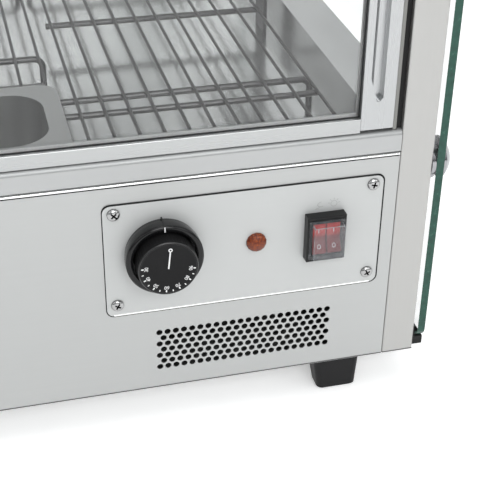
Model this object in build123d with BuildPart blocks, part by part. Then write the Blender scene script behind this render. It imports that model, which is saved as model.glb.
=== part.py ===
from build123d import *
import math
import os

os.makedirs("parts", exist_ok=True)

# ---------------------------------------------------------------------------
# Countertop food holding cabinet, service side towards -Y, guest side +Y.
# Millimetres, +Z up, feet on Z = 0, footprint centred on the origin.
# ---------------------------------------------------------------------------

# cabinet envelope
HALF_W = 333.0            # half width over the metal body
Y_OP = -262.0             # service-side face of the body
Y_CU = 276.0              # guest-side face of the body
Z_BOT = 33.0              # underside of the body (feet height)
Z_ROOF = 640.0            # underside of the roof box
Z_TOP = 686.0             # top of the roof box
SHEET = 1.2               # stainless sheet thickness
POST = 25.0               # corner post section
POST_IN = HALF_W - POST   # inner face of a corner post

# side glass
GLASS_GAP = 3.0
SIDE_T = 6.0
X_SG = HALF_W + GLASS_GAP
SG_OP = Y_OP
SG_CU = 286.4
SG_Z0 = 41.0
ARC_Y, ARC_Z = 22.0, 420.0
SG_R = SG_CU - ARC_Y
SG_TOP = ARC_Z + SG_R
CAP_R = 15.0
CAP_H = 9.0
STUD_R = 4.0
CAP_POINTS = [(-247.0, 192.5), (-247.0, 657.0), (8.0, 657.0), (258.0, 192.5)]

# front glass
FG_RO, FG_T = 250.0, 5.0
FG_RI = FG_RO - FG_T
FG_HALF = 334.0
FG_END = math.radians(86.0)

# base and deck
Z_SILL = 207.0            # top of the service fascia
Z_LEDGE = 221.2           # top of the deck tray flange
Z_DECK = 191.2            # deck floor
TRAY_X = 298.0
TRAY_Y0, TRAY_Y1 = -228.6, 250.0
FASCIA_GAP = 0.4

# perforated field of the service fascia
PERF_PITCH = 6.0
PERF_ROW = 5.12
PERF_D = 4.5
PERF_X0 = 135.2
PERF_Z0 = 82.4
PERF_N = 22
PERF_ROWS = 7

# control plate
CP_X0, CP_X1 = 98.4, 296.6
CP_Z0, CP_Z1 = 103.0, 191.8
CP_T = 1.5
CP_R = 5.5
Y_CP = Y_OP - CP_T        # front face of the control plate
SCREWS = [(106.0, 112.1), (289.1, 112.1), (106.0, 185.2), (289.1, 185.2)]
KNOB_X, KNOB_Z = 138.2, 152.0
KNOB_R = 20.7
Y_KNOB = -286.4           # front face of the knob
BEZEL_RO, BEZEL_RT, BEZEL_RI, BEZEL_H = 26.0, 26.9, 22.3, 12.7
SHAFT_R = 3.0
PILOT_X, PILOT_Z, PILOT_R = 205.0, 150.0, 7.3
SW_X, SW_Z = 254.1, 149.9
SW_W, SW_H, SW_PROUD = 28.4, 35.5, 8.2
SW_OPEN_X, SW_OPEN_Z = 10.6, 13.0
ROCK_TILT = 10.0
Y_PIVOT = -266.0

# water pan
PAN_Y = -173.0
PAN_FX, PAN_FY = 176.0, 108.0
PAN_BX, PAN_BY = 152.0, 84.0
PAN_D = 65.0
Z_PAN = 217.5             # top of the pan flange
PAN_T = 1.2

# wire work
WIRE_R = 1.25
ROD_R = 2.5
WIRE_P = 17.65
Z_RACK = 216.0
RACK_Y0, RACK_Y1 = -226.0, 240.0

# sliding doors
DOOR_W = 312.0
DOOR_X1 = 301.0
DOOR_X0 = DOOR_X1 - DOOR_W
DOOR_T = 12.0
DOOR_Y0 = -261.0
TRACK_SHIFT = 15.0
STILE = 24.0
RAIL = 10.7
Z_D0, Z_D1 = 224.5, 617.7
Z_ST0, Z_ST1 = 226.6, 615.7
Z_SILLTOP = 224.2
Z_HEAD = 618.0
SILL_Y1 = -230.0
SLOT_D = 7.0


def block(x0, x1, y0, y1, z0, z1, mode=Mode.ADD):
    """Axis-aligned block between two corners, in the open part builder."""
    with Locations(((x0 + x1) / 2, (y0 + y1) / 2, (z0 + z1) / 2)):
        Box(abs(x1 - x0), abs(y1 - y0), abs(z1 - z0), mode=mode)


def save(builder, name):
    builder.part.label = name
    export_step(builder.part, f"parts/{name}.step")


# ---------------------------------------------------------------------------
# BASE
# ---------------------------------------------------------------------------
with BuildPart() as base_floor:
    block(-HALF_W + SHEET, HALF_W - SHEET, Y_OP + SHEET, Y_CU - SHEET, Z_BOT, Z_BOT + 16)
    block(-HALF_W + 2 * SHEET, HALF_W - 2 * SHEET, Y_OP + 2 * SHEET, Y_CU - 2 * SHEET,
          Z_BOT + SHEET, Z_BOT + 20, mode=Mode.SUBTRACT)
    for sx in (-1, 1):
        block(sx * (POST_IN - 0.4), sx * (HALF_W + 1), Y_OP - 1, Y_OP + POST + 0.4,
              Z_BOT - 1, Z_BOT + 20, mode=Mode.SUBTRACT)
    block(-POST_IN + 0.5, POST_IN - 0.5, Y_OP + SHEET / 2, Y_OP + 2.5 * SHEET, Z_BOT + 9, Z_BOT + 20, mode=Mode.SUBTRACT)
    # air inlet slots under the control bay
    with BuildSketch(Plane.XY.offset(Z_BOT - 1)):
        with GridLocations(16, 60, 9, 2):
            SlotOverall(46, 5, rotation=90)
    extrude(amount=4, mode=Mode.SUBTRACT)

with BuildPart() as side_skin_right:
    block(HALF_W - SHEET, HALF_W, Y_OP + POST, Y_CU, Z_BOT, 220)
    block(HALF_W - 16, HALF_W - SHEET / 2, Y_OP + POST, Y_CU - SHEET, 220 - SHEET, 220)
    with BuildSketch(Plane.YZ.offset(HALF_W - SHEET - 1)):
        with Locations((258.0, 195.5)):
            Circle(STUD_R + 0.05)
    extrude(amount=4, mode=Mode.SUBTRACT)

with BuildPart() as side_skin_left:
    add(mirror(side_skin_right.part, about=Plane.YZ, mode=Mode.PRIVATE))

with BuildPart() as customer_fascia:
    block(-HALF_W + SHEET, HALF_W - SHEET, Y_CU - SHEET, Y_CU, Z_BOT, 220)
    block(-HALF_W + 17, HALF_W - 17, Y_CU - 16, Y_CU - SHEET / 2, 220 - SHEET, 220)

with BuildPart() as operator_fascia:
    block(-POST_IN + FASCIA_GAP, POST_IN - FASCIA_GAP, Y_OP, Y_OP + SHEET, Z_BOT, Z_SILL)
    block(-POST_IN + FASCIA_GAP, POST_IN - FASCIA_GAP, Y_OP + SHEET / 2, -247.6, Z_SILL - SHEET, Z_SILL)
    with BuildSketch(Plane.XZ.offset(-Y_OP + 1)):
        for row in range(PERF_ROWS):
            shift = 0.0 if row % 2 == 0 else PERF_PITCH / 2
            for k in range(PERF_N - (row % 2)):
                with Locations((PERF_X0 + shift + k * PERF_PITCH, PERF_Z0 - row * PERF_ROW)):
                    Circle(PERF_D / 2)
        # service window behind the control plate
        with Locations(((CP_X0 + CP_X1) / 2, (CP_Z0 + CP_Z1) / 2)):
            RectangleRounded(170, 60, 3)
        with Locations(*SCREWS):
            Circle(2.0)
        # cord entry
        with Locations((-270.0, 70.0)):
            Circle(8.0)
    extrude(amount=-4, mode=Mode.SUBTRACT)

with BuildPart() as corner_post_right:
    block(POST_IN, HALF_W, Y_OP, Y_OP + POST, Z_BOT, Z_ROOF)
    fillet(corner_post_right.part.edges().filter_by(Axis.Z).group_by(Axis.Y)[0], radius=1.6)
    block(POST_IN + 1.5, HALF_W - 1.5, Y_OP + 1.5, Y_OP + POST - 1.5, Z_BOT + 1.5, Z_ROOF + 1,
          mode=Mode.SUBTRACT)
    with BuildSketch(Plane.YZ.offset(HALF_W - 2)):
        with Locations((-247.0, 195.5)):
            Circle(STUD_R + 0.05)
    extrude(amount=4, mode=Mode.SUBTRACT)

with BuildPart() as corner_post_left:
    add(mirror(corner_post_right.part, about=Plane.YZ, mode=Mode.PRIVATE))

# each foot is upright on its outer side and widens inwards towards the top
with BuildPart() as feet:
    for sx in (-1, 1):
        for yo, sy in ((-254.5, 1), (268.5, -1)):
            with BuildSketch(Plane.XY):
                with Locations((sx * 276.0, yo + sy * 9.5)):
                    RectangleRounded(28.6, 16.6, 3.6)
            with BuildSketch(Plane.XY.offset(1.2)):
                with Locations((sx * 276.0, yo + sy * 9.3)):
                    RectangleRounded(31.0, 18.6, 4.5)
            loft(ruled=True)
            with BuildSketch(Plane.XY.offset(1.2)):
                with Locations((sx * 276.0, yo + sy * 9.3)):
                    RectangleRounded(31.0, 18.6, 4.5)
            with BuildSketch(Plane.XY.offset(Z_BOT - 8.5)):
                with Locations((sx * 275.0, yo + sy * 12.0)):
                    RectangleRounded(36.0, 24.0, 4.2)
            loft(ruled=True)
            with BuildSketch(Plane.XY.offset(Z_BOT - 8.5)):
                with Locations((sx * 275.0, yo + sy * 12.0)):
                    RectangleRounded(36.0, 24.0, 4.2)
            with BuildSketch(Plane.XY.offset(Z_BOT)):
                with Locations((sx * 273.2, yo + sy * 21.0)):
                    RectangleRounded(42.0, 42.0, 4.0)
            loft(ruled=True)

# small rubber rests carrying the lower corners of the side glass
with BuildPart() as glass_rest_pads:
    for sx in (-1, 1):
        for y0 in (-258.0, 246.0):
            block(sx * HALF_W, sx * (X_SG + SIDE_T + 0.5), y0, y0 + 20, Z_BOT + 0.5, SG_Z0)
            block(sx * HALF_W, sx * X_SG, y0, y0 + 20, SG_Z0, SG_Z0 + 9)

with BuildPart() as cable_gland:
    with BuildSketch(Plane.XZ.offset(-Y_OP)):
        with Locations((-270.0, 70.0)):
            RegularPolygon(radius=12.5, side_count=6)
    extrude(amount=5)
    with BuildSketch(Plane.XZ.offset(-Y_OP + 5)):
        with Locations((-270.0, 70.0)):
            Circle(10.5)
    extrude(amount=13, taper=9)
    with BuildSketch(Plane.XZ.offset(-Y_OP)):
        with Locations((-270.0, 70.0)):
            Circle(8.0)
    extrude(amount=-10)
    with BuildSketch(Plane.XZ.offset(-Y_OP - SHEET)):
        with Locations((-270.0, 70.0)):
            RegularPolygon(radius=12.0, side_count=6)
    extrude(amount=-5)
    with BuildSketch(Plane.XZ.offset(-Y_OP + 20)):
        with Locations((-270.0, 70.0)):
            Circle(4.6)
    extrude(amount=-40, mode=Mode.SUBTRACT)

# ---------------------------------------------------------------------------
# HEATED CHAMBER
# ---------------------------------------------------------------------------
with BuildPart() as deck_tray:
    cy = (TRAY_Y0 + TRAY_Y1) / 2
    with BuildSketch(Plane.XY.offset(Z_DECK - SHEET)):
        with Locations((0, cy)):
            RectangleRounded(2 * (TRAY_X + SHEET), TRAY_Y1 - TRAY_Y0 + 2 * SHEET, 9)
    extrude(amount=Z_LEDGE - Z_DECK + SHEET)
    # flange resting on the side skins and the guest fascia
    block(-HALF_W, HALF_W, TRAY_Y0 + 6.6, Y_CU, Z_LEDGE - SHEET, Z_LEDGE)
    for sx in (-1, 1):
        block(sx * (POST_IN + 0.3), sx * HALF_W, Y_OP + POST + 0.3, TRAY_Y0 + 8, Z_LEDGE - SHEET, Z_LEDGE)
        block(sx * (TRAY_X - 1), sx * (POST_IN + 1), SILL_Y1 + 0.4, TRAY_Y0 + 8, Z_LEDGE - SHEET, Z_LEDGE)
    with BuildSketch(Plane.XY.offset(Z_DECK)):
        with Locations((0, cy)):
            RectangleRounded(2 * TRAY_X, TRAY_Y1 - TRAY_Y0, 8)
    extrude(amount=50, mode=Mode.SUBTRACT)
    # service side: low wall and its own flange, under the door sill
    block(-TRAY_X + 8, TRAY_X - 8, TRAY_Y0 - 3, TRAY_Y0 + 0.5, Z_SILL, Z_LEDGE + 1, mode=Mode.SUBTRACT)
    block(-TRAY_X + 8, TRAY_X - 8, -247.2, TRAY_Y0 - SHEET / 2, Z_SILL - SHEET, Z_SILL)
    # opening for the water pan
    with BuildSketch(Plane.XY.offset(Z_DECK - 5)):
        with Locations((0, PAN_Y)):
            RectangleRounded(157.6, 89.6, 12)
    extrude(amount=10, mode=Mode.SUBTRACT)

with BuildPart() as pan_collar:
    with BuildSketch(Plane.XY.offset(Z_DECK)):
        with Locations((0, PAN_Y)):
            RectangleRounded(176, 104, 14)
            RectangleRounded(157.6, 89.6, 12, mode=Mode.SUBTRACT)
    extrude(amount=SHEET)
    with BuildSketch(Plane.XY.offset(Z_DECK + SHEET)):
        with Locations((0, PAN_Y)):
            RectangleRounded(160, 92, 13.2)
            RectangleRounded(157.6, 89.6, 12, mode=Mode.SUBTRACT)
    extrude(amount=Z_PAN - 1.5 - Z_DECK - SHEET)

with BuildPart() as pan_cavity:
    with BuildSketch(Plane.XY.offset(Z_PAN + 1)):
        with Locations((0, PAN_Y)):
            RectangleRounded(PAN_BX - 2 * PAN_T + 0.2, PAN_BY - 2 * PAN_T + 0.2, 27 - PAN_T)
    with BuildSketch(Plane.XY.offset(Z_PAN - PAN_D + PAN_T)):
        with Locations((0, PAN_Y)):
            RectangleRounded(PAN_BX - 14 - 2 * PAN_T, PAN_BY - 14 - 2 * PAN_T, 21 - PAN_T)
    loft(ruled=True)
    fillet(pan_cavity.part.edges().group_by(Axis.Z)[0], radius=8)

with BuildPart() as water_pan:
    with BuildSketch(Plane.XY.offset(Z_PAN - PAN_T)):
        with Locations((0, PAN_Y)):
            RectangleRounded(PAN_FX, PAN_FY, 15)
    extrude(amount=PAN_T)
    with BuildSketch(Plane.XY.offset(Z_PAN)):
        with Locations((0, PAN_Y)):
            RectangleRounded(PAN_BX, PAN_BY, 27)
    with BuildSketch(Plane.XY.offset(Z_PAN - PAN_D)):
        with Locations((0, PAN_Y)):
            RectangleRounded(PAN_BX - 14, PAN_BY - 14, 21)
    loft(ruled=True)
    fillet(water_pan.part.edges().group_by(Axis.Z)[0], radius=9)
    add(pan_cavity.part, mode=Mode.SUBTRACT)


def wire_rack(x_list, rod_x0, rod_x1, rod_ys, y0, y1, z_wire, leg_to, under_pan_x=0.0, under_pan_y=-500.0):
    """Welded grid: wires along Y on top of thicker rods along X, the rods bent down as legs."""
    with BuildSketch(Plane.XZ.offset(-y0)) as wires:
        with Locations(*[(x, z_wire) for x in x_list]):
            Circle(WIRE_R)
    extrude(wires.sketch, amount=-(y1 - y0))
    z_rod = z_wire - WIRE_R - ROD_R + 0.4
    for ry in rod_ys:
        if ry < under_pan_y:
            with BuildLine(Plane.XZ.offset(-ry)) as path:
                FilletPolyline((rod_x1, leg_to), (rod_x1, z_rod), (under_pan_x, z_rod), radius=7)
            with BuildSketch(Plane(origin=(rod_x1, ry, leg_to), z_dir=(0, 0, 1))) as foot:
                Circle(ROD_R)
            sweep(foot.sketch, path=path.line)
            continue
        with BuildLine(Plane.XZ.offset(-ry)) as path:
            FilletPolyline((rod_x0, leg_to), (rod_x0, z_rod), (rod_x1, z_rod), (rod_x1, leg_to),
                           radius=7)
        with BuildSketch(Plane(origin=(rod_x0, ry, leg_to), z_dir=(0, 0, 1))) as foot:
            Circle(ROD_R)
        sweep(foot.sketch, path=path.line)


side_wires = [99.3 + k * WIRE_P for k in range(11)]
with BuildPart() as rack_right:
    wire_rack(side_wires, 95.5, 279.0, (-143.0, 153.0), RACK_Y0, RACK_Y1, Z_RACK, leg_to=Z_DECK,
              under_pan_x=82.5, under_pan_y=-100.0)
    for ry in (RACK_Y0 + 1.25, RACK_Y1 - 1.25):
        with BuildSketch(Plane.YZ.offset(99.3)):
            with Locations((ry, Z_RACK - 1.8)):
                Circle(WIRE_R)
        extrude(amount=10 * WIRE_P)
    with BuildSketch(Plane.YZ.offset(95.5)):
        with Locations((5.0, Z_RACK - WIRE_R - ROD_R + 0.4)):
            Circle(ROD_R)
    extrude(amount=183.5)

with BuildPart() as rack_left:
    add(mirror(rack_right.part, about=Plane.YZ, mode=Mode.PRIVATE))

mid_wires = [s * (9.07 + 18.15 * k) for s in (-1, 1) for k in range(5)]
with BuildPart() as rack_middle:
    wire_rack(mid_wires, -85.0, 85.0, (-60.0, 153.0), -113.0, RACK_Y1, Z_RACK, leg_to=Z_DECK)
    for ry in (-113.0 + 1.25, RACK_Y1 - 1.25):
        with BuildSketch(Plane.YZ.offset(-81.67)):
            with Locations((ry, Z_RACK - 1.8)):
                Circle(WIRE_R)
        extrude(amount=163.34)

# slotted uprights, arms and the two upper wire shelves
UP_X = 284.0
UP_Y0, UP_Y1 = 5.5, 30.5
with BuildPart() as uprights:
    for sx in (-1, 1):
        block(sx * UP_X, sx * (UP_X + 3), UP_Y0, UP_Y1, Z_DECK, Z_ROOF)
    with BuildSketch(Plane.YZ.offset(-UP_X - 10)):
        with Locations(*[(18.0, 250.0 + 25.0 * k) for k in range(15)]):
            SlotOverall(14, 4, rotation=90)
    extrude(amount=2 * UP_X + 20, mode=Mode.SUBTRACT)

Z_SHELF = (318.0, 442.0)
with BuildPart() as shelf_brackets:
    for sx in (-1, 1):
        for zs, a, b in ((Z_SHELF[0], -136.0, 172.0), (Z_SHELF[1], -116.0, 152.0)):
            with BuildSketch(Plane.YZ.offset(UP_X - 3 if sx > 0 else -UP_X)):
                with BuildLine():
                    Polyline((a, zs - 8), (a, zs), (b, zs), (b, zs - 8), (36, zs - 24), (0, zs - 24), close=True)
                make_face()
            extrude(amount=3)

shelf_wires = [s * (8.6 + 17.2 * k) for s in (-1, 1) for k in range(16)]
with BuildPart() as wire_shelf_lower:
    zr = Z_SHELF[0] + ROD_R
    for ry in (-147.5, -60.0, 95.0, 182.5):
        with BuildSketch(Plane.YZ.offset(-281.3)):
            with Locations((ry, zr)):
                Circle(ROD_R)
        extrude(amount=562.6)
    with BuildSketch(Plane.XZ.offset(150.0)):
        with Locations((-281.3, zr), (281.3, zr)):
            Circle(ROD_R)
    extrude(amount=-335.0)
    with BuildSketch(Plane.XZ.offset(150.0)):
        with Locations(*[(x, zr + ROD_R + WIRE_R - 0.4) for x in shelf_wires]):
            Circle(WIRE_R)
    extrude(amount=-335.0)

with BuildPart() as wire_shelf_upper:
    zr = Z_SHELF[1] + ROD_R
    for ry in (-127.5, -50.0, 85.0, 162.5):
        with BuildSketch(Plane.YZ.offset(-281.3)):
            with Locations((ry, zr)):
                Circle(ROD_R)
        extrude(amount=562.6)
    with BuildSketch(Plane.XZ.offset(130.0)):
        with Locations((-281.3, zr), (281.3, zr)):
            Circle(ROD_R)
    extrude(amount=-295.0)
    with BuildSketch(Plane.XZ.offset(130.0)):
        with Locations(*[(x, zr + ROD_R + WIRE_R - 0.4) for x in shelf_wires]):
            Circle(WIRE_R)
    extrude(amount=-295.0)

# tubular elements hung under the deck and one under the water pan
with BuildPart() as heating_elements:
    for sx in (-1, 1):
        with BuildLine(Plane.XY.offset(171.0)) as el:
            FilletPolyline((sx * 150.0, -170.0), (sx * 150.0, 205.0), (sx * 215.0, 205.0),
                           (sx * 215.0, -120.0), (sx * 262.0, -120.0), (sx * 262.0, 205.0), radius=20)
        with BuildSketch(Plane(origin=(sx * 150.0, -170.0, 171.0), z_dir=(0, 1, 0))):
            Circle(3.25)
        sweep(path=el.line)
        for cyy in (-60.0, 130.0):
            block(sx * 140.0, sx * 270.0, cyy - 7, cyy + 7, 173.5, 175.0)
            block(sx * 140.0, sx * 141.5, cyy - 7, cyy + 7, 173.5, Z_DECK - SHEET)
            block(sx * 268.5, sx * 270.0, cyy - 7, cyy + 7, 173.5, Z_DECK - SHEET)
    with BuildLine(Plane.XY.offset(142.0)) as el:
        FilletPolyline((-56.0, -120.0), (-56.0, -205.0), (56.0, -205.0), (56.0, -120.0), radius=18)
    with BuildSketch(Plane(origin=(-56.0, -120.0, 142.0), z_dir=(0, 1, 0))):
        Circle(3.25)
    sweep(path=el.line)
    for sx in (-1, 1):
        block(sx * 54.0, sx * 58.0, -124.0, -112.0, 141.0, Z_DECK - SHEET)

# ---------------------------------------------------------------------------
# SLIDING DOORS
# ---------------------------------------------------------------------------
with BuildPart() as door_sill:
    block(-POST_IN, POST_IN, Y_OP, SILL_Y1, Z_SILL, Z_SILLTOP)
    fillet(door_sill.part.edges().filter_by(Axis.X).group_by(Axis.Z)[-1].sort_by(Axis.Y)[0], radius=4.0)
    # shadow line over the folded edge of the fascia
    block(-POST_IN - 1, POST_IN + 1, Y_OP - 1, Y_OP + 1.6, Z_SILL - 1, Z_SILL + 1.3, mode=Mode.SUBTRACT)
    for k in (0, 1):
        yc = DOOR_Y0 + DOOR_T / 2 + k * TRACK_SHIFT
        block(-POST_IN - 1, POST_IN + 1, yc - 2.3, yc + 2.3, Z_SILLTOP - 10, Z_SILLTOP + 1, mode=Mode.SUBTRACT)

with BuildPart() as door_head_track:
    block(-POST_IN, POST_IN, Y_OP, SILL_Y1, Z_HEAD, Z_ROOF)
    for k in (0, 1):
        yc = DOOR_Y0 + DOOR_T / 2 + k * TRACK_SHIFT
        block(-POST_IN - 1, POST_IN + 1, yc - 2.3, yc + 2.3, Z_HEAD - 1, Z_HEAD + 14, mode=Mode.SUBTRACT)

with BuildPart() as jamb_channels:
    for sx in (-1, 1):
        block(sx * 301.3, sx * 304.0, -259.5, -232.0, Z_SILLTOP, Z_HEAD)

with BuildPart() as jamb_seals:
    for sx in (-1, 1):
        block(sx * 304.0, sx * POST_IN, -258.0, -233.0, Z_SILLTOP, Z_HEAD)

Y0, Y1 = DOOR_Y0, DOOR_Y0 + DOOR_T
YS0, YS1 = DOOR_Y0 + 3.0, DOOR_Y0 + 9.0      # glazing slot
GL0, GL1 = DOOR_Y0 + 4.0, DOOR_Y0 + 8.0      # 4 mm pane
XI0, XI1 = DOOR_X0 + STILE, DOOR_X1 - STILE  # clear width between stiles
ZI0, ZI1 = Z_D0 + RAIL, Z_D1 - RAIL          # clear height between rails

# finger groove: sloping side, flat floor, square far side, boat-shaped ends
with BuildPart() as finger_groove:
    with BuildSketch(Plane.XY.offset(240.0)):
        with BuildLine():
            Polyline((XI1 + 4.8, Y0 - 1), (XI1 + 5.3, Y0), (XI1 + 9.0, Y0 + 5.0), (XI1 + 15.0, Y0 + 5.0),
                     (XI1 + 15.0, Y0 - 1), close=True)
        make_face()
    extrude(amount=365.0)
    with BuildSketch(Plane.XZ.offset(-Y0 + 2)) as outline:
        with BuildLine():
            gx0, gx1 = XI1 + 4.0, XI1 + 15.0
            Polyline((gx1, 250.0), (gx1, 594.0), (gx1 - 2.2, 597.0), (gx1 - 4.6, 597.0), (gx0, 575.0),
                     (gx0, 269.0), (gx1 - 4.6, 247.0), (gx1 - 2.2, 247.0), close=True)
        make_face()
        fillet(outline.vertices(), radius=1.2)
    extrude(amount=-12.0, mode=Mode.INTERSECT)

with BuildPart() as door_right_handle_stile:
    block(XI1, DOOR_X1, Y0, Y1, Z_ST0, Z_ST1)
    fillet(door_right_handle_stile.part.edges().filter_by(Axis.Z), radius=0.8)
    block(XI1 - 1, XI1 + SLOT_D, YS0, YS1, ZI0 - SLOT_D, ZI1 + SLOT_D, mode=Mode.SUBTRACT)
    add(finger_groove.part, mode=Mode.SUBTRACT)

with BuildPart() as door_right_meeting_stile:
    block(DOOR_X0, XI0, Y0, Y1, Z_ST0, Z_ST1)
    fillet(door_right_meeting_stile.part.edges().filter_by(Axis.Z), radius=0.8)
    block(XI0 - SLOT_D, XI0 + 1, YS0, YS1, ZI0 - SLOT_D, ZI1 + SLOT_D, mode=Mode.SUBTRACT)

with BuildPart() as door_right_bottom_rail:
    block(XI0, XI1, Y0, Y1, Z_D0, ZI0)
    fillet(door_right_bottom_rail.part.edges().filter_by(Axis.X), radius=0.8)
    block(XI0 - 1, XI1 + 1, YS0, YS1, ZI0 - SLOT_D, ZI0 + 1, mode=Mode.SUBTRACT)
    block(XI0 - 1, XI1 + 1, GL0, GL1, Z_D0 - 1, Z_D0 + 3.2, mode=Mode.SUBTRACT)

with BuildPart() as door_right_top_rail:
    block(XI0, XI1, Y0, Y1, ZI1, Z_D1)
    fillet(door_right_top_rail.part.edges().filter_by(Axis.X), radius=0.8)
    block(XI0 - 1, XI1 + 1, YS0, YS1, ZI1 - 1, ZI1 + SLOT_D, mode=Mode.SUBTRACT)
    block(XI0 - 1, XI1 + 1, GL0, GL1, Z_D1 - 3.2, Z_D1 + 1, mode=Mode.SUBTRACT)

with BuildPart() as door_right_glass:
    block(XI0 - 6, XI1 + 6, GL0, GL1, ZI0 - 6, ZI1 + 6)

with BuildPart() as door_right_gasket:
    block(XI0 - SLOT_D, XI1 + SLOT_D, YS0, YS1, ZI0 - SLOT_D, ZI1 + SLOT_D)
    block(XI0 + 0.6, XI1 - 0.6, YS0 - 1, YS1 + 1, ZI0 + 0.6, ZI1 - 0.6, mode=Mode.SUBTRACT)
    block(XI0 - 6, XI1 + 6, GL0, GL1, ZI0 - 6, ZI1 + 6, mode=Mode.SUBTRACT)

with BuildPart() as door_right_glides:
    for gx in (XI0 + 12, XI1 - 52):
        block(gx, gx + 40, GL0, GL1, Z_SILLTOP - 9.7, Z_D0 + 3.2)
        block(gx, gx + 40, GL0, GL1, Z_D1 - 3.2, Z_HEAD + 10)


def left_copy(src):
    add(mirror(src.part, about=Plane.YZ, mode=Mode.PRIVATE).moved(Location((0, TRACK_SHIFT, 0))))


with BuildPart() as door_left_handle_stile:
    left_copy(door_right_handle_stile)
with BuildPart() as door_left_meeting_stile:
    left_copy(door_right_meeting_stile)
with BuildPart() as door_left_bottom_rail:
    left_copy(door_right_bottom_rail)
with BuildPart() as door_left_top_rail:
    left_copy(door_right_top_rail)
with BuildPart() as door_left_glass:
    left_copy(door_right_glass)
with BuildPart() as door_left_gasket:
    left_copy(door_right_gasket)
with BuildPart() as door_left_glides:
    left_copy(door_right_glides)

# ---------------------------------------------------------------------------
# GLASS ENVELOPE
# ---------------------------------------------------------------------------
with BuildPart() as side_glass_right:
    with BuildSketch(Plane.YZ.offset(X_SG)) as sg:
        with BuildLine():
            Line((SG_OP, SG_Z0), (SG_OP, SG_TOP))
            Line((SG_OP, SG_TOP), (ARC_Y, SG_TOP))
            RadiusArc((ARC_Y, SG_TOP), (SG_CU, ARC_Z), SG_R)
            Line((SG_CU, ARC_Z), (SG_CU, SG_Z0))
            Line((SG_CU, SG_Z0), (SG_OP, SG_Z0))
        make_face()
        with Locations(*CAP_POINTS):
            Circle(STUD_R + 1.0, mode=Mode.SUBTRACT)
    extrude(amount=SIDE_T)
    keep = [e for e in side_glass_right.part.edges().filter_by(Axis.X)
            if (abs(e.center().Y - SG_OP) < 0.1)
            or (abs(e.center().Z - SG_Z0) < 0.1 and abs(e.center().Y - SG_CU) < 0.1)]
    fillet(keep, radius=10.0)

with BuildPart() as side_glass_left:
    add(mirror(side_glass_right.part, about=Plane.YZ, mode=Mode.PRIVATE))


def dome_mid(base, r, h):
    """Middle point of a spherical dome's profile: axial position, radius."""
    big = (r * r + h * h) / (2 * h)
    half = math.asin(r / big) / 2
    return (base + h - big + big * math.cos(half), big * math.sin(half))


def cap_plane(sx, y, z):
    return Plane(origin=(sx * HALF_W, y, z), x_dir=(sx, 0, 0), z_dir=(0, 1, 0))


with BuildPart() as glass_caps:
    for sx in (-1, 1):
        for y, z in CAP_POINTS:
            with BuildSketch(cap_plane(sx, y, z)):
                with BuildLine():
                    g = GLASS_GAP + SIDE_T
                    Polyline((g + CAP_H, 0), (0, 0), (0, STUD_R), (g, STUD_R), (g, CAP_R), (g + 2.0, CAP_R))
                    ThreePointArc((g + 2.0, CAP_R), dome_mid(g + 2.0, CAP_R, CAP_H - 2.0), (g + CAP_H, 0))
                make_face()
            revolve(axis=Axis((sx * HALF_W, y, z), (1, 0, 0)))

with BuildPart() as glass_spacers:
    for sx in (-1, 1):
        with BuildSketch(Plane.YZ.offset(HALF_W if sx > 0 else -X_SG)):
            with Locations(*CAP_POINTS):
                Circle(CAP_R)
                Circle(STUD_R, mode=Mode.SUBTRACT)
        extrude(amount=GLASS_GAP)

with BuildPart() as front_glass:
    with BuildSketch(Plane.YZ.offset(-FG_HALF)):
        with BuildLine():
            ao = (ARC_Y + FG_RO * math.cos(FG_END), ARC_Z + FG_RO * math.sin(FG_END))
            ai = (ARC_Y + FG_RI * math.cos(FG_END), ARC_Z + FG_RI * math.sin(FG_END))
            Line((ARC_Y + FG_RO, 224.0), (ARC_Y + FG_RO, ARC_Z))
            RadiusArc((ARC_Y + FG_RO, ARC_Z), ao, -FG_RO)
            Line(ao, ai)
            RadiusArc(ai, (ARC_Y + FG_RI, ARC_Z), FG_RI)
            Line((ARC_Y + FG_RI, ARC_Z), (ARC_Y + FG_RI, 224.0))
            Line((ARC_Y + FG_RI, 224.0), (ARC_Y + FG_RO, 224.0))
        make_face()
    extrude(amount=2 * FG_HALF)

with BuildPart() as front_glass_channel:
    block(-HALF_W, HALF_W, 262.0, Y_CU, Z_LEDGE, 235.0)
    fillet(front_glass_channel.part.edges().filter_by(Axis.X).group_by(Axis.Z)[-1], radius=1.5)
    block(-HALF_W - 1, HALF_W + 1, ARC_Y + FG_RI, ARC_Y + FG_RO, 224.0, 240.0, mode=Mode.SUBTRACT)

# ---------------------------------------------------------------------------
# ROOF
# ---------------------------------------------------------------------------
ROOF_Y1 = 28.0
with BuildPart() as roof_cover:
    block(-HALF_W, HALF_W, Y_OP, ROOF_Y1, Z_ROOF, Z_TOP)
    fillet(roof_cover.part.edges().group_by(Axis.Z)[-1], radius=3.0)
    block(-HALF_W + SHEET, HALF_W - SHEET, Y_OP + SHEET, ROOF_Y1 - SHEET, Z_ROOF - 1, Z_TOP - SHEET,
          mode=Mode.SUBTRACT)
    # folded nose holding the upper edge of the curved glass
    block(-HALF_W, HALF_W, ROOF_Y1 - 0.5, 54.0, 659.0, 676.0)
    add(front_glass.part, mode=Mode.SUBTRACT)
    with BuildSketch(Plane.YZ.offset(-HALF_W - 1)):
        with Locations(*CAP_POINTS[1:3]):
            Circle(STUD_R + 0.05)
    extrude(amount=2 * HALF_W + 2, mode=Mode.SUBTRACT)

with BuildPart() as ceiling_liner:
    block(-HALF_W + SHEET, HALF_W - SHEET, Y_OP + SHEET, ROOF_Y1 - SHEET, Z_ROOF, Z_ROOF + SHEET)
    # lamp trough hung below the liner
    block(-236.0, 236.0, -62.0, -18.0, 622.0, Z_ROOF)
    block(-234.8, 234.8, -60.8, -19.2, 621.0, Z_ROOF + SHEET, mode=Mode.SUBTRACT)
    block(-234.8, 234.8, -60.8, -19.2, Z_ROOF, Z_ROOF + SHEET)

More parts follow.
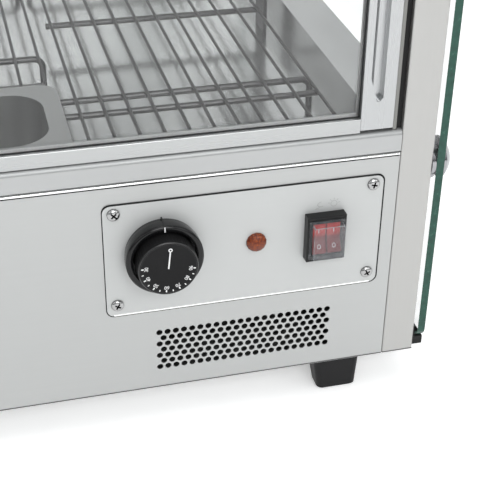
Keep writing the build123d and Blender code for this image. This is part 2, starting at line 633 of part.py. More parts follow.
with BuildPart() as lamp_tube:
    with BuildSketch(Plane.YZ.offset(-222.0)):
        with Locations((-40.0, 630.5)):
            Circle(8.0)
    extrude(amount=444.0)
    for sx in (-1, 1):
        block(sx * 222.0, sx * 234.8, -50.0, -30.0, 622.5, Z_ROOF)

with BuildPart() as lamp_diffuser:
    with BuildSketch(Plane.YZ.offset(-236.0)):
        with BuildLine():
            Polyline((-62.0, 622.0), (-18.0, 622.0), (-18.0, 619.5))
            ThreePointArc((-18.0, 619.5), (-40.0, 613.0), (-62.0, 619.5))
            Line((-62.0, 619.5), (-62.0, 622.0))
        make_face()
    extrude(amount=472.0)
    with BuildSketch(Plane.YZ.offset(-234.0)):
        with BuildLine():
            Polyline((-60.0, 623.0), (-20.0, 623.0), (-20.0, 620.4))
            ThreePointArc((-20.0, 620.4), (-40.0, 614.8), (-60.0, 620.4))
            Line((-60.0, 620.4), (-60.0, 623.0))
        make_face()
    extrude(amount=468.0, mode=Mode.SUBTRACT)

# ---------------------------------------------------------------------------
# CONTROLS
# ---------------------------------------------------------------------------
with BuildPart() as control_plate:
    with BuildSketch(Plane.XZ.offset(-Y_OP)):
        with Locations(((CP_X0 + CP_X1) / 2, (CP_Z0 + CP_Z1) / 2)):
            RectangleRounded(CP_X1 - CP_X0, CP_Z1 - CP_Z0, CP_R)
        with Locations(*SCREWS):
            Circle(2.0, mode=Mode.SUBTRACT)
        with Locations((KNOB_X, KNOB_Z)):
            Circle(5.0, mode=Mode.SUBTRACT)
        with Locations((PILOT_X, PILOT_Z)):
            Circle(6.0, mode=Mode.SUBTRACT)
        with Locations((SW_X, SW_Z)):
            Rectangle(26.0, 33.0, mode=Mode.SUBTRACT)
    extrude(amount=CP_T)

with BuildPart() as plate_screws:
    for x, z in SCREWS:
        with BuildSketch(Plane.XZ.offset(-Y_CP)):
            with Locations((x, z)):
                Circle(4.5)
        extrude(amount=1.0)
        with BuildSketch(Plane.XZ.offset(-Y_CP + 1.0)):
            with Locations((x, z)):
                Circle(4.5)
        with BuildSketch(Plane.XZ.offset(-Y_CP + 2.2)):
            with Locations((x, z)):
                Circle(3.1)
        loft()
        with BuildSketch(Plane.XZ.offset(-Y_CP)):
            with Locations((x, z)):
                Circle(2.0)
        extrude(amount=-9.0)
        with BuildSketch(Plane.XZ.offset(-Y_CP + 2.3)):
            with Locations((x, z)):
                Rectangle(4.6, 1.1)
                Rectangle(1.1, 4.6)
        extrude(amount=-1.5, mode=Mode.SUBTRACT)

with BuildPart() as knob_bezel:
    with BuildSketch(Plane(origin=(KNOB_X, 0, KNOB_Z), x_dir=(1, 0, 0), z_dir=(0, 0, 1))):
        with BuildLine():
            Polyline((BEZEL_RI, Y_CP), (BEZEL_RO, Y_CP), (BEZEL_RT, Y_CP - BEZEL_H + 1.0),
                     (BEZEL_RT - 0.8, Y_CP - BEZEL_H), (BEZEL_RI, Y_CP - BEZEL_H), close=True)
        make_face()
    revolve(axis=Axis((KNOB_X, 0, KNOB_Z), (0, 1, 0)))
    block(KNOB_X - 0.7, KNOB_X + 0.7, Y_CP - BEZEL_H + 1.2, Y_CP, KNOB_Z + BEZEL_RO - 0.6, KNOB_Z + BEZEL_RO + 1.3)
    # back web between the ring and the plate
    with BuildSketch(Plane.XZ.offset(-Y_CP)):
        with Locations((KNOB_X, KNOB_Z)):
            Circle(BEZEL_RI + 0.5)
            Circle(5.6, mode=Mode.SUBTRACT)
    extrude(amount=1.0)

with BuildPart() as thermostat_knob:
    with BuildSketch(Plane(origin=(KNOB_X, 0, KNOB_Z), x_dir=(1, 0, 0), z_dir=(0, 0, 1))):
        with BuildLine():
            Polyline((0, -265.2), (0, Y_KNOB), (KNOB_R - 0.9, Y_KNOB), (KNOB_R, Y_KNOB + 1.2),
                     (KNOB_R + 0.3, -265.2), close=True)
        make_face()
    revolve(axis=Axis((KNOB_X, 0, KNOB_Z), (0, 1, 0)))
    # spindle
    with BuildSketch(Plane.XZ.offset(265.2)):
        with Locations((KNOB_X, KNOB_Z)):
            Circle(SHAFT_R)
    extrude(amount=-20.2)

with BuildPart() as thermostat_body:
    block(KNOB_X - 18, KNOB_X + 18, Y_OP + 0.0, -232.0, KNOB_Z - 18, KNOB_Z + 18)
    with BuildSketch(Plane.XZ.offset(-Y_OP)):
        with Locations((KNOB_X, KNOB_Z)):
            Circle(4.9)
    extrude(amount=2.4)
    with BuildSketch(Plane.XZ.offset(-Y_OP + 5)):
        with Locations((KNOB_X, KNOB_Z)):
            Circle(SHAFT_R + 0.06)
    extrude(amount=-24.0, mode=Mode.SUBTRACT)
    for tx in (-12.0, -4.0, 4.0, 12.0):
        block(KNOB_X + tx - 0.4, KNOB_X + tx + 0.4, -232.5, -222.0, KNOB_Z - 15, KNOB_Z - 8.7)
    # capillary and bulb under the deck
    with BuildLine() as cap:
        FilletPolyline((KNOB_X, -233.0, KNOB_Z + 8), (KNOB_X, -214.0, KNOB_Z + 8),
                       (KNOB_X, -214.0, 184.0), (KNOB_X, -160.0, 184.0), radius=6)
    with BuildSketch(Plane(origin=(KNOB_X, -233.0, KNOB_Z + 8), z_dir=(0, 1, 0))):
        Circle(1.2)
    sweep(path=cap.line)
    with BuildSketch(Plane.XZ.offset(162.0)):
        with Locations((KNOB_X, 184.0)):
            Circle(3.5)
    extrude(amount=-80.0)

with BuildPart() as pilot_lens:
    with BuildSketch(Plane(origin=(PILOT_X, 0, PILOT_Z), x_dir=(1, 0, 0), z_dir=(0, 0, 1))):
        with BuildLine():
            Polyline((0, -240.0), (6.0, -240.0), (6.0, Y_CP), (PILOT_R, Y_CP), (PILOT_R, Y_CP - 1.6))
            dm = dome_mid(1.6, PILOT_R, 4.0)
            ThreePointArc((PILOT_R, Y_CP - 1.6), (dm[1], Y_CP - dm[0]), (0, Y_CP - 5.6))
            Line((0, Y_CP - 5.6), (0, -240.0))
        make_face()
    revolve(axis=Axis((PILOT_X, 0, PILOT_Z), (0, 1, 0)))

with BuildPart() as switch_frame:
    block(SW_X - SW_W / 2, SW_X + SW_W / 2, Y_CP - SW_PROUD, Y_CP, SW_Z - SW_H / 2, SW_Z + SW_H / 2)
    fillet(switch_frame.part.edges().group_by(Axis.Y)[0], radius=1.2)
    block(SW_X - 12.9, SW_X + 12.9, Y_CP, -238.0, SW_Z - 16.4, SW_Z + 16.4)
    block(SW_X - SW_OPEN_X, SW_X + SW_OPEN_X, Y_CP - SW_PROUD - 1, -255.0, SW_Z - SW_OPEN_Z, SW_Z + SW_OPEN_Z,
          mode=Mode.SUBTRACT)
    block(SW_X - 0.3, SW_X + 0.3, -268.0, -255.0, SW_Z - SW_OPEN_Z, SW_Z + SW_OPEN_Z)
    with BuildSketch(Plane.YZ.offset(SW_X - 12.4)):
        with Locations((Y_PIVOT, SW_Z)):
            Circle(1.25)
    extrude(amount=24.8, mode=Mode.SUBTRACT)
    for tx in (-8.0, 0.0, 8.0):
        block(SW_X + tx - 3.1, SW_X + tx + 3.1, -238.5, -229.0, SW_Z - 9.4, SW_Z - 8.6)
        block(SW_X + tx - 3.1, SW_X + tx + 3.1, -238.5, -229.0, SW_Z + 8.6, SW_Z + 9.4)


def rocker(x0, x1, pin_to):
    """One red paddle, resting with its upper half pressed in."""
    a = math.radians(-ROCK_TILT)

    def turn(p, q):
        # p: distance towards the operator, q: height, about the pivot
        pp = p * math.cos(a) + q * math.sin(a)
        qq = -p * math.sin(a) + q * math.cos(a)
        return (Y_PIVOT - pp, SW_Z + qq)

    pts = [(3.6, 0), (5.4, 11.6), (3.0, 12.0), (-1.5, 7.0), (-3.0, 0), (-1.5, -7.0), (3.0, -12.0), (5.4, -11.6)]
    with BuildSketch(Plane.YZ.offset(x0)) as paddle:
        with BuildLine():
            Polyline(*[turn(*p) for p in pts], close=True)
        make_face()
    extrude(paddle.sketch, amount=x1 - x0)
    with BuildSketch(Plane.YZ.offset(min(x0, pin_to))) as pin:
        with Locations((Y_PIVOT, SW_Z)):
            Circle(1.2)
    extrude(pin.sketch, amount=abs(pin_to - x0))


with BuildPart() as rocker_left:
    rocker(SW_X - 10.3, SW_X - 0.6, SW_X - 11.9)
with BuildPart() as rocker_right:
    rocker(SW_X + 0.6, SW_X + 10.3, SW_X + 11.9)

with BuildPart() as splash_cover:
    yf = Y_CP - SW_PROUD
    block(SW_X - 13.0, SW_X + 13.0, yf - 0.8, yf, SW_Z - 15.4, SW_Z + 15.4)
    block(SW_X - 11.3, SW_X + 11.3, yf - 6.3, yf, SW_Z - 13.2, SW_Z + 13.2)
    fillet(splash_cover.part.edges().filter_by(Axis.Y), radius=1.4)
    fillet(splash_cover.part.edges().group_by(Axis.Y)[0], radius=0.5)
    block(SW_X - SW_OPEN_X, SW_X + SW_OPEN_X, yf - 5.6, yf + 1, SW_Z - 12.5, SW_Z + 12.5,
          mode=Mode.SUBTRACT)

# ---------------------------------------------------------------------------
# one STEP file per piece
save(base_floor, "base_floor")
save(side_skin_left, "side_skin_left")
save(side_skin_right, "side_skin_right")
save(customer_fascia, "customer_fascia")
save(operator_fascia, "operator_fascia")
save(corner_post_left, "corner_post_left")
save(corner_post_right, "corner_post_right")
save(feet, "feet")
save(glass_rest_pads, "glass_rest_pads")
save(cable_gland, "cable_gland")
save(deck_tray, "deck_tray")
save(pan_collar, "pan_collar")
save(water_pan, "water_pan")
save(rack_left, "rack_left")
save(rack_right, "rack_right")
save(rack_middle, "rack_middle")
save(uprights, "uprights")
save(shelf_brackets, "shelf_brackets")
save(wire_shelf_lower, "wire_shelf_lower")
save(wire_shelf_upper, "wire_shelf_upper")
save(heating_elements, "heating_elements")
save(door_sill, "door_sill")
save(door_head_track, "door_head_track")
save(jamb_channels, "jamb_channels")
save(jamb_seals, "jamb_seals")
save(door_right_handle_stile, "door_right_handle_stile")
save(door_right_meeting_stile, "door_right_meeting_stile")
save(door_right_bottom_rail, "door_right_bottom_rail")
save(door_right_top_rail, "door_right_top_rail")
save(door_right_glass, "door_right_glass")
save(door_right_gasket, "door_right_gasket")
save(door_right_glides, "door_right_glides")
save(door_left_handle_stile, "door_left_handle_stile")
save(door_left_meeting_stile, "door_left_meeting_stile")
save(door_left_bottom_rail, "door_left_bottom_rail")
save(door_left_top_rail, "door_left_top_rail")
save(door_left_glass, "door_left_glass")
save(door_left_gasket, "door_left_gasket")
save(door_left_glides, "door_left_glides")
save(side_glass_left, "side_glass_left")
save(side_glass_right, "side_glass_right")
save(glass_caps, "glass_caps")
save(glass_spacers, "glass_spacers")
save(front_glass, "front_glass")
save(front_glass_channel, "front_glass_channel")
save(roof_cover, "roof_cover")
save(ceiling_liner, "ceiling_liner")
save(lamp_tube, "lamp_tube")
save(lamp_diffuser, "lamp_diffuser")
save(control_plate, "control_plate")
save(plate_screws, "plate_screws")
save(knob_bezel, "knob_bezel")
save(thermostat_knob, "thermostat_knob")
save(thermostat_body, "thermostat_body")
save(pilot_lens, "pilot_lens")
save(switch_frame, "switch_frame")
save(rocker_left, "rocker_left")
save(rocker_right, "rocker_right")
save(splash_cover, "splash_cover")
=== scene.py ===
import bpy
import bmesh
import math
from mathutils import Matrix, Vector


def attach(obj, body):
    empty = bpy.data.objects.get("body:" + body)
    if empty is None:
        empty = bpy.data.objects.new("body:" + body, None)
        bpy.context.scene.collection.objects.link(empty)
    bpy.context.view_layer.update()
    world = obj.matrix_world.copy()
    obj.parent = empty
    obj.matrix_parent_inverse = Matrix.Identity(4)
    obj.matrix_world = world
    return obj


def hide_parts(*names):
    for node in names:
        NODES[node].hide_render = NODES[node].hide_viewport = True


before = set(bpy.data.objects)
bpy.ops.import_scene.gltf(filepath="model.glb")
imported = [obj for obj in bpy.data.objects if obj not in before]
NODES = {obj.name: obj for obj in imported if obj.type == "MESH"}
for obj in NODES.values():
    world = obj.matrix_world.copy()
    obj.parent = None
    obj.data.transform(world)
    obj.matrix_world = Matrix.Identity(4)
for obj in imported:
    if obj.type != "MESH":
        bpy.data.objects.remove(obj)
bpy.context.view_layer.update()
MM = 0.001

# ---------------------------------------------------------------------------
# Material helpers
# ---------------------------------------------------------------------------


class Mat:
    """A small wrapper that keeps node building short."""

    def __init__(self, name):
        self.m = bpy.data.materials.new(name)
        self.m.use_nodes = True
        self.t = self.m.node_tree
        self.t.nodes.clear()
        self.out = self.t.nodes.new("ShaderNodeOutputMaterial")

    def n(self, kind, **props):
        node = self.t.nodes.new(kind)
        for k, v in props.items():
            setattr(node, k, v)
        return node

    def link(self, a, b):
        self.t.links.new(a, b)

    def coords(self, scale=(1, 1, 1), rot=(0, 0, 0)):
        tc = self.n("ShaderNodeTexCoord")
        mp = self.n("ShaderNodeMapping")
        mp.inputs["Scale"].default_value = scale
        mp.inputs["Rotation"].default_value = rot
        self.link(tc.outputs["Object"], mp.inputs["Vector"])
        return mp.outputs["Vector"]

    def noise(self, vec, scale, detail=3.0, rough=0.5):
        nz = self.n("ShaderNodeTexNoise")
        nz.inputs["Scale"].default_value = scale
        nz.inputs["Detail"].default_value = detail
        nz.inputs["Roughness"].default_value = rough
        self.link(vec, nz.inputs["Vector"])
        return nz.outputs["Fac"]

    def remap(self, fac, lo, hi, a=0.3, b=0.7):
        mr = self.n("ShaderNodeMapRange")
        mr.inputs["From Min"].default_value = a
        mr.inputs["From Max"].default_value = b
        mr.inputs["To Min"].default_value = lo
        mr.inputs["To Max"].default_value = hi
        self.link(fac, mr.inputs["Value"])
        return mr.outputs["Result"]

    def math(self, op, a, b=None, c=None):
        m = self.n("ShaderNodeMath", operation=op)
        for i, v in enumerate((a, b, c)):
            if v is None:
                continue
            if isinstance(v, (int, float)):
                m.inputs[i].default_value = v
            else:
                self.link(v, m.inputs[i])
        return m.outputs["Value"]

    def mixrgb(self, fac, a, b):
        m = self.n("ShaderNodeMix", data_type="RGBA")
        ins = [s for s in m.inputs if s.type == "RGBA"]
        if isinstance(fac, (int, float)):
            m.inputs[0].default_value = fac
        else:
            self.link(fac, m.inputs[0])
        for s, v in zip(ins, (a, b)):
            if isinstance(v, (tuple, list)):
                s.default_value = (*v[:3], 1.0)
            else:
                self.link(v, s)
        return [s for s in m.outputs if s.type == "RGBA"][0]

    def bump(self, height, strength, distance=0.0002, normal=None):
        b = self.n("ShaderNodeBump")
        b.inputs["Strength"].default_value = strength
        b.inputs["Distance"].default_value = distance
        self.link(height, b.inputs["Height"])
        if normal is not None:
            self.link(normal, b.inputs["Normal"])
        return b.outputs["Normal"]

    def principled(self, **vals):
        p = self.n("ShaderNodeBsdfPrincipled")
        for k, v in vals.items():
            s = p.inputs[k.replace("_", " ")]
            if hasattr(v, "is_linked") or hasattr(v, "links"):
                self.link(v, s)
            elif isinstance(v, (tuple, list)):
                s.default_value = (*v[:3], 1.0) if len(s.default_value) == 4 else v
            else:
                s.default_value = v
        return p

    def done(self, shader):
        self.link(shader, self.out.inputs["Surface"])
        return self.m


def brushed(name, color, rough=0.26, axis="x", grain=0.05, var=0.03, smudge=0.03, fine=1400.0, metal=1.0, bump=0.035,
            painted_dark_rim=None, painted_shoulder_shade=None):
    """Brushed metal: fine streaks along one row axis, soft smudges."""
    m = Mat(name)
    long, short = 6.0, fine
    sc = {"x": (long, short, short), "y": (short, long, short), "z": (short, short, long)}[axis]
    streak = m.noise(m.coords(sc), 1.0, 4.0, 0.6)
    sc2 = tuple(v * 0.18 if v > 50 else v * 0.5 for v in sc)
    broad = m.noise(m.coords(sc2), 1.0, 3.0, 0.55)
    cloud = m.noise(m.coords((1, 1, 1)), 5.0, 3.0, 0.5)
    f = m.math("ADD", m.math("MULTIPLY", streak, 0.6), m.math("MULTIPLY", broad, 0.4))
    dark = tuple(c * (1 - var) for c in color)
    light = tuple(min(1.0, c * (1 + var)) for c in color)
    col = m.mixrgb(m.remap(f, 0, 1, 0.35, 0.65), dark, light)
    r = m.math("ADD", m.remap(f, rough - grain, rough + grain, 0.35, 0.65), m.remap(cloud, -smudge, smudge))
    if painted_dark_rim is not None:
        # painted shade and highlight on the rim of a thin plate: edge faces turned away from the front lose their metal
        # and are painted near-black as painted shade, the down-facing ones near-white as a painted highlight
        geo = m.n("ShaderNodeNewGeometry")
        sep = m.n("ShaderNodeSeparateXYZ")
        m.link(geo.outputs["True Normal"], sep.inputs["Vector"])
        rim = m.math("LESS_THAN", m.math("ABSOLUTE", sep.outputs["Y"]), 0.92)
        # down-facing edge faces, which take the painted highlight
        low = m.math("LESS_THAN", sep.outputs["Z"], -0.55)
        col = m.mixrgb(rim, col, m.mixrgb(low, painted_dark_rim, (0.96, 0.96, 0.96)))
        metal = m.math("MULTIPLY", m.math("SUBTRACT", 1.0, rim), metal)
    if painted_shoulder_shade is not None:
        # painted shade on the rolled shoulder of an extruded profile: where the surface curves up, its colour is pulled
        # towards dark grey
        geo = m.n("ShaderNodeNewGeometry")
        sep = m.n("ShaderNodeSeparateXYZ")
        m.link(geo.outputs["Normal"], sep.inputs["Vector"])
        turn = m.math("MULTIPLY", m.math("GREATER_THAN", sep.outputs["Z"], 0.12),
                      m.math("LESS_THAN", sep.outputs["Z"], 0.985))
        col = m.mixrgb(m.math("MULTIPLY", turn, painted_shoulder_shade), col, (0.16, 0.165, 0.165))
    p = m.principled(Base_Color=col, Metallic=metal, Roughness=r)
    m.link(m.bump(f, bump, 0.00006), p.inputs["Normal"])
    return m.done(p.outputs["BSDF"])


def polished(name, color, rough=0.06, smudge=0.03, tint=0.02, bump=0.05):
    """Mirror-finished sheet: nearly clean reflections, faint wipe marks."""
    m = Mat(name)
    wipe = m.noise(m.coords((3, 9, 3), (0, 0, 0.4)), 4.0, 4.0, 0.6)
    cloud = m.noise(m.coords(), 9.0, 2.0, 0.5)
    col = m.mixrgb(m.remap(cloud, 0, 1), tuple(c * (1 - tint) for c in color), tuple(c * (1 + tint) for c in color))
    r = m.remap(wipe, rough, rough + smudge)
    p = m.principled(Base_Color=col, Metallic=1.0, Roughness=r)
    wave = m.noise(m.coords(), 14.0, 1.0, 0.4)
    m.link(m.bump(wave, bump, 0.0006), p.inputs["Normal"])
    return m.done(p.outputs["BSDF"])


def plastic(name, color, rough=0.42, spec=0.25, grain=900.0, bump=0.10, var=0.25, coat=0.0, wear=0.0):
    """Moulded plastic or rubber: fine skin texture, uneven sheen."""
    m = Mat(name)
    g = m.noise(m.coords(), grain, 2.0, 0.5)
    cloud = m.noise(m.coords(), 22.0, 3.0, 0.55)
    col = m.mixrgb(m.remap(cloud, 0, 1), tuple(c * (1 - var) for c in color), tuple(c * (1 + var) for c in color))
    r = m.math("ADD", m.remap(cloud, rough - 0.05, rough + 0.07), m.remap(g, -0.03, 0.03))
    p = m.principled(Base_Color=col, Roughness=r)
    p.inputs["Specular IOR Level"].default_value = spec
    if coat:
        p.inputs["Coat Weight"].default_value = coat
        p.inputs["Coat Roughness"].default_value = 0.08
    m.link(m.bump(g, bump, 0.00008), p.inputs["Normal"])
    return m.done(p.outputs["BSDF"])


def pane(name, axis, tint=(0.985, 0.992, 0.989), edge=(0.011, 0.058, 0.040)):
    """Flat or curved sheet glass: clear faces, green ground edges. axis: the faces' normal."""
    m = Mat(name)
    geo = m.n("ShaderNodeNewGeometry")
    sep = m.n("ShaderNodeSeparateXYZ")
    m.link(geo.outputs["True Normal"], sep.inputs["Vector"])
    ax = m.math("ABSOLUTE", sep.outputs["X"])
    if axis == "x":
        is_edge = m.math("LESS_THAN", ax, 0.6)
    elif axis == "y":
        ay = m.math("ABSOLUTE", sep.outputs["Y"])
        is_edge = m.math("LESS_THAN", ay, 0.6)
    else:
        is_edge = m.math("GREATER_THAN", ax, 0.6)
    dust = m.noise(m.coords((1, 1, 1)), 7.0, 4.0, 0.6)
    col = m.mixrgb(m.remap(dust, 0, 1), tint, tuple(min(1.0, c * 1.02) for c in tint))
    tr = m.n("ShaderNodeBsdfTransparent")
    m.link(col, tr.inputs["Color"])
    gl = m.n("ShaderNodeBsdfGlossy")
    gl.inputs["Roughness"].default_value = 0.02
    gl.inputs["Color"].default_value = (1, 1, 1, 1)
    lw = m.n("ShaderNodeLayerWeight")
    lw.inputs["Blend"].default_value = 0.5
    fres = m.math("ADD", m.math("MULTIPLY", m.math("POWER", lw.outputs["Facing"], 5.0), 0.75), 0.03)
    face = m.n("ShaderNodeMixShader")
    m.link(fres, face.inputs[0])
    m.link(tr.outputs["BSDF"], face.inputs[1])
    m.link(gl.outputs["BSDF"], face.inputs[2])
    streak = m.noise(m.coords((40, 40, 40)), 6.0, 2.0, 0.5)
    ecol = m.mixrgb(m.remap(streak, 0, 1), tuple(c * 0.8 for c in edge), tuple(c * 1.25 for c in edge))
    ed = m.principled(Base_Color=ecol, Roughness=m.remap(streak, 0.12, 0.28))
    ed.inputs["Specular IOR Level"].default_value = 0.4
    mix = m.n("ShaderNodeMixShader")
    m.link(is_edge, mix.inputs[0])
    m.link(face.outputs["Shader"], mix.inputs[1])
    m.link(ed.outputs["BSDF"], mix.inputs[2])
    return m.done(mix.outputs["Shader"])


# ---------------------------------------------------------------------------
# Materials
# ---------------------------------------------------------------------------
M_FASCIA = brushed("brushed_steel", (0.452, 0.459, 0.455), 0.34, "x", 0.03, 0.012, 0.02, metal=0.85)
M_SKIN = brushed("brushed_steel_side", (0.540, 0.548, 0.543), 0.32, "y", 0.04, 0.02, 0.02)
M_POST = brushed("post_steel", (0.448, 0.445, 0.434), 0.36, "z", 0.03, 0.015, 0.02, metal=0.85)
# the plate's edge faces carry painted shade, with a painted highlight along the lower edge
M_PLATE = brushed("plate_steel", (0.484, 0.493, 0.489), 0.50, "x", 0.03, 0.010, 0.015, metal=0.20, bump=0.02,
                  painted_dark_rim=(0.020, 0.020, 0.020))
# the sill's rolled shoulder carries painted shade
M_SILL = brushed("sill_aluminium", (0.452, 0.459, 0.459), 0.46, "x", 0.03, 0.015, 0.02, metal=0.8, painted_shoulder_shade=0.38)
M_JAMB = brushed("jamb_aluminium", (0.215, 0.215, 0.205), 0.34, "z", 0.05, 0.02, 0.02)
M_DECK = polished("polished_steel", (0.62, 0.625, 0.62), 0.17, 0.04, bump=0.01)
M_PAN = polished("pan_steel", (0.44, 0.445, 0.44), 0.27, 0.03, bump=0.0)
M_WIRE = polished("wire_chrome", (0.105, 0.105, 0.105), 0.34, 0.08, 0.10)
M_BAR = plastic("dark_bar", (0.030, 0.030, 0.032), 0.35, 0.5, 500.0, 0.08)
M_ELEMENT = brushed("element_sheath", (0.16, 0.145, 0.13), 0.45, "y", 0.08, 0.2, 0.05, 300.0)
M_ALU = brushed("aluminium_frame", (0.450, 0.458, 0.458), 0.28, "x", 0.03, 0.015, 0.02)
M_ALU_V = brushed("aluminium_frame_v", (0.458, 0.466, 0.470), 0.28, "z", 0.03, 0.015, 0.02)
M_RUBBER = plastic("black_rubber", (0.012, 0.012, 0.012), 0.55, 0.2, 700.0, 0.15)
M_NYLON = plastic("glide_nylon", (0.62, 0.62, 0.58), 0.45, 0.4, 600.0, 0.08, 0.05)
M_GLASS_X = pane("clear_glass_side", "x")
M_GLASS_Y = pane("clear_glass_door", "y")
M_GLASS_F = pane("clear_glass_front", "front")
M_CAP = polished("chrome_cap", (0.34, 0.34, 0.35), 0.12, 0.05)
M_SCREW = polished("screw_steel", (0.42, 0.42, 0.42), 0.14, 0.06)
M_BLACK = plastic("black_plastic", (0.0050, 0.0050, 0.0054), 0.15, 0.34, 1100.0, 0.03)
M_FRAME = plastic("switch_black", (0.0060, 0.0060, 0.0062), 0.36, 0.26, 1100.0, 0.06)
# near-black material for painted shade in recesses and under beads
M_PAINTED_SHADE = plastic("painted_shade_dark", (0.0040, 0.0040, 0.0040), 0.6, 0.1, 900.0, 0.05)


def knob_plastic():
    """Matt moulded face, shinier along its rounded rim."""
    m = Mat("knob_black")
    g = m.noise(m.coords(), 1400.0, 2.0, 0.5)
    geo = m.n("ShaderNodeNewGeometry")
    sep = m.n("ShaderNodeSeparateXYZ")
    m.link(geo.outputs["Normal"], sep.inputs["Vector"])
    ay = m.math("ABSOLUTE", sep.outputs["Y"])
    rim = m.math("MULTIPLY", m.math("LESS_THAN", ay, 0.985), m.math("GREATER_THAN", ay, 0.25))
    col = m.mixrgb(m.remap(g, 0, 1), (0.0070, 0.0070, 0.0074), (0.0100, 0.0100, 0.0105))
    p = m.principled(Base_Color=col, Roughness=m.math("SUBTRACT", m.remap(g, 0.46, 0.52), m.math("MULTIPLY", rim, 0.26)))
    m.link(m.math("ADD", m.math("MULTIPLY", rim, 0.45), 0.15), p.inputs["Specular IOR Level"])
    m.link(m.bump(g, 0.04, 0.00006), p.inputs["Normal"])
    return m.done(p.outputs["BSDF"])


M_KNOB = knob_plastic()
M_FOOT = plastic("foot_rubber", (0.0105, 0.0105, 0.0110), 0.50, 0.20, 500.0, 0.14)
M_LAMP = plastic("lamp_white", (0.78, 0.78, 0.74), 0.30, 0.5, 300.0, 0.03, 0.03)
M_OPAL = plastic("lamp_opal", (0.80, 0.80, 0.76), 0.45, 0.4, 300.0, 0.03, 0.03)
M_PRINT = plastic("dial_print", (0.72, 0.72, 0.72), 0.55, 0.2, 900.0, 0.04, 0.05)
M_HEM = plastic("hem_shadow", (0.085, 0.085, 0.085), 0.55, 0.2, 900.0, 0.04, 0.08)
# near-white metal for strips that are painted highlights on edges
M_HIGHLIGHT_BEAD = polished("painted_highlight_bead", (0.93, 0.935, 0.93), 0.22, 0.03)
M_ICON = plastic("panel_print", (0.36, 0.365, 0.365), 0.55, 0.2, 900.0, 0.04, 0.08)
# near-white for the paddle marks, partly print and partly painted highlight
M_MARK_AND_HIGHLIGHT = plastic("paddle_mark_and_highlight", (0.92, 0.88, 0.88), 0.35, 0.4, 900.0, 0.04, 0.05)


def amber():
    m = Mat("amber_lens")
    cell = m.n("ShaderNodeTexVoronoi")
    cell.inputs["Scale"].default_value = 1150.0
    m.link(m.coords(), cell.inputs["Vector"])
    # fine bright specks painted into the colour as painted glints
    painted_glints = m.remap(cell.outputs["Distance"], 1.0, 0.0, 0.10, 0.50)
    lw = m.n("ShaderNodeLayerWeight")
    lw.inputs["Blend"].default_value = 0.5
    core = m.mixrgb(m.math("MULTIPLY", painted_glints, 0.80), (0.100, 0.014, 0.004), (0.62, 0.16, 0.045))
    # painted shade: the colour darkens towards the dome's edge, where the view grazes it
    col = m.mixrgb(m.remap(lw.outputs["Facing"], 0.0, 0.9, 0.45, 0.95), core, (0.055, 0.012, 0.006))
    p = m.principled(Base_Color=col, Roughness=m.remap(cell.outputs["Distance"], 0.16, 0.34, 0.0, 0.6))
    p.inputs["Specular IOR Level"].default_value = 0.35
    p.inputs["Emission Strength"].default_value = 0.0
    return m.done(p.outputs["BSDF"])


def red_paddle():
    """Red rocker: its own bright red on the pressed upper half, painted dark red on the raised lower half as painted
    shade.
    """
    m = Mat("red_rocker")
    cloud = m.noise(m.coords(), 260.0, 2.0, 0.5)
    sep = m.n("ShaderNodeSeparateXYZ")
    m.link(m.coords(), sep.inputs["Vector"])
    up = m.remap(sep.outputs["Z"], 0.0, 1.0, 0.1505, 0.1545)
    # painted shade: dark red for the raised lower half
    low = m.mixrgb(m.remap(cloud, 0, 1), (0.30, 0.030, 0.034), (0.38, 0.048, 0.050))
    top = m.mixrgb(m.remap(cloud, 0, 1), (0.84, 0.022, 0.016), (0.96, 0.050, 0.036))
    col = m.mixrgb(up, low, top)
    p = m.principled(Base_Color=col, Roughness=m.remap(cloud, 0.14, 0.26))
    p.inputs["Specular IOR Level"].default_value = 0.35
    p.inputs["Subsurface Weight"].default_value = 0.0
    return m.done(p.outputs["BSDF"])


def cover_plastic():
    """Clear moulded cover: see-through walls with a faint haze, turned opaque grey along the rounded edges as a painted
    highlight.
    """
    m = Mat("clear_cover")
    haze = m.noise(m.coords(), 160.0, 4.0, 0.6)
    geo = m.n("ShaderNodeNewGeometry")
    sep = m.n("ShaderNodeSeparateXYZ")
    m.link(geo.outputs["Normal"], sep.inputs["Vector"])
    mx = m.math("MAXIMUM", m.math("MAXIMUM", m.math("ABSOLUTE", sep.outputs["X"]), m.math("ABSOLUTE", sep.outputs["Y"])),
                m.math("ABSOLUTE", sep.outputs["Z"]))
    # painted highlight: rounded edges, where the normal leaves the axes, go opaque grey
    rim = m.remap(mx, 0.55, 0.0, 0.90, 0.995)
    tr = m.n("ShaderNodeBsdfTransparent")
    m.link(m.mixrgb(m.remap(haze, 0, 1), (0.90, 0.91, 0.92), (0.95, 0.955, 0.96)), tr.inputs["Color"])
    gl = m.principled(Base_Color=m.mixrgb(m.remap(haze, 0, 1), (0.22, 0.23, 0.24), (0.32, 0.33, 0.34)),
                      Roughness=m.remap(haze, 0.06, 0.16))
    fac = m.math("ADD", rim, m.remap(haze, 0.20, 0.27))
    mix = m.n("ShaderNodeMixShader")
    m.link(fac, mix.inputs[0])
    m.link(tr.outputs["BSDF"], mix.inputs[1])
    m.link(gl.outputs["BSDF"], mix.inputs[2])
    return m.done(mix.outputs["Shader"])


M_AMBER = amber()
M_RED = red_paddle()
M_COVER = cover_plastic()

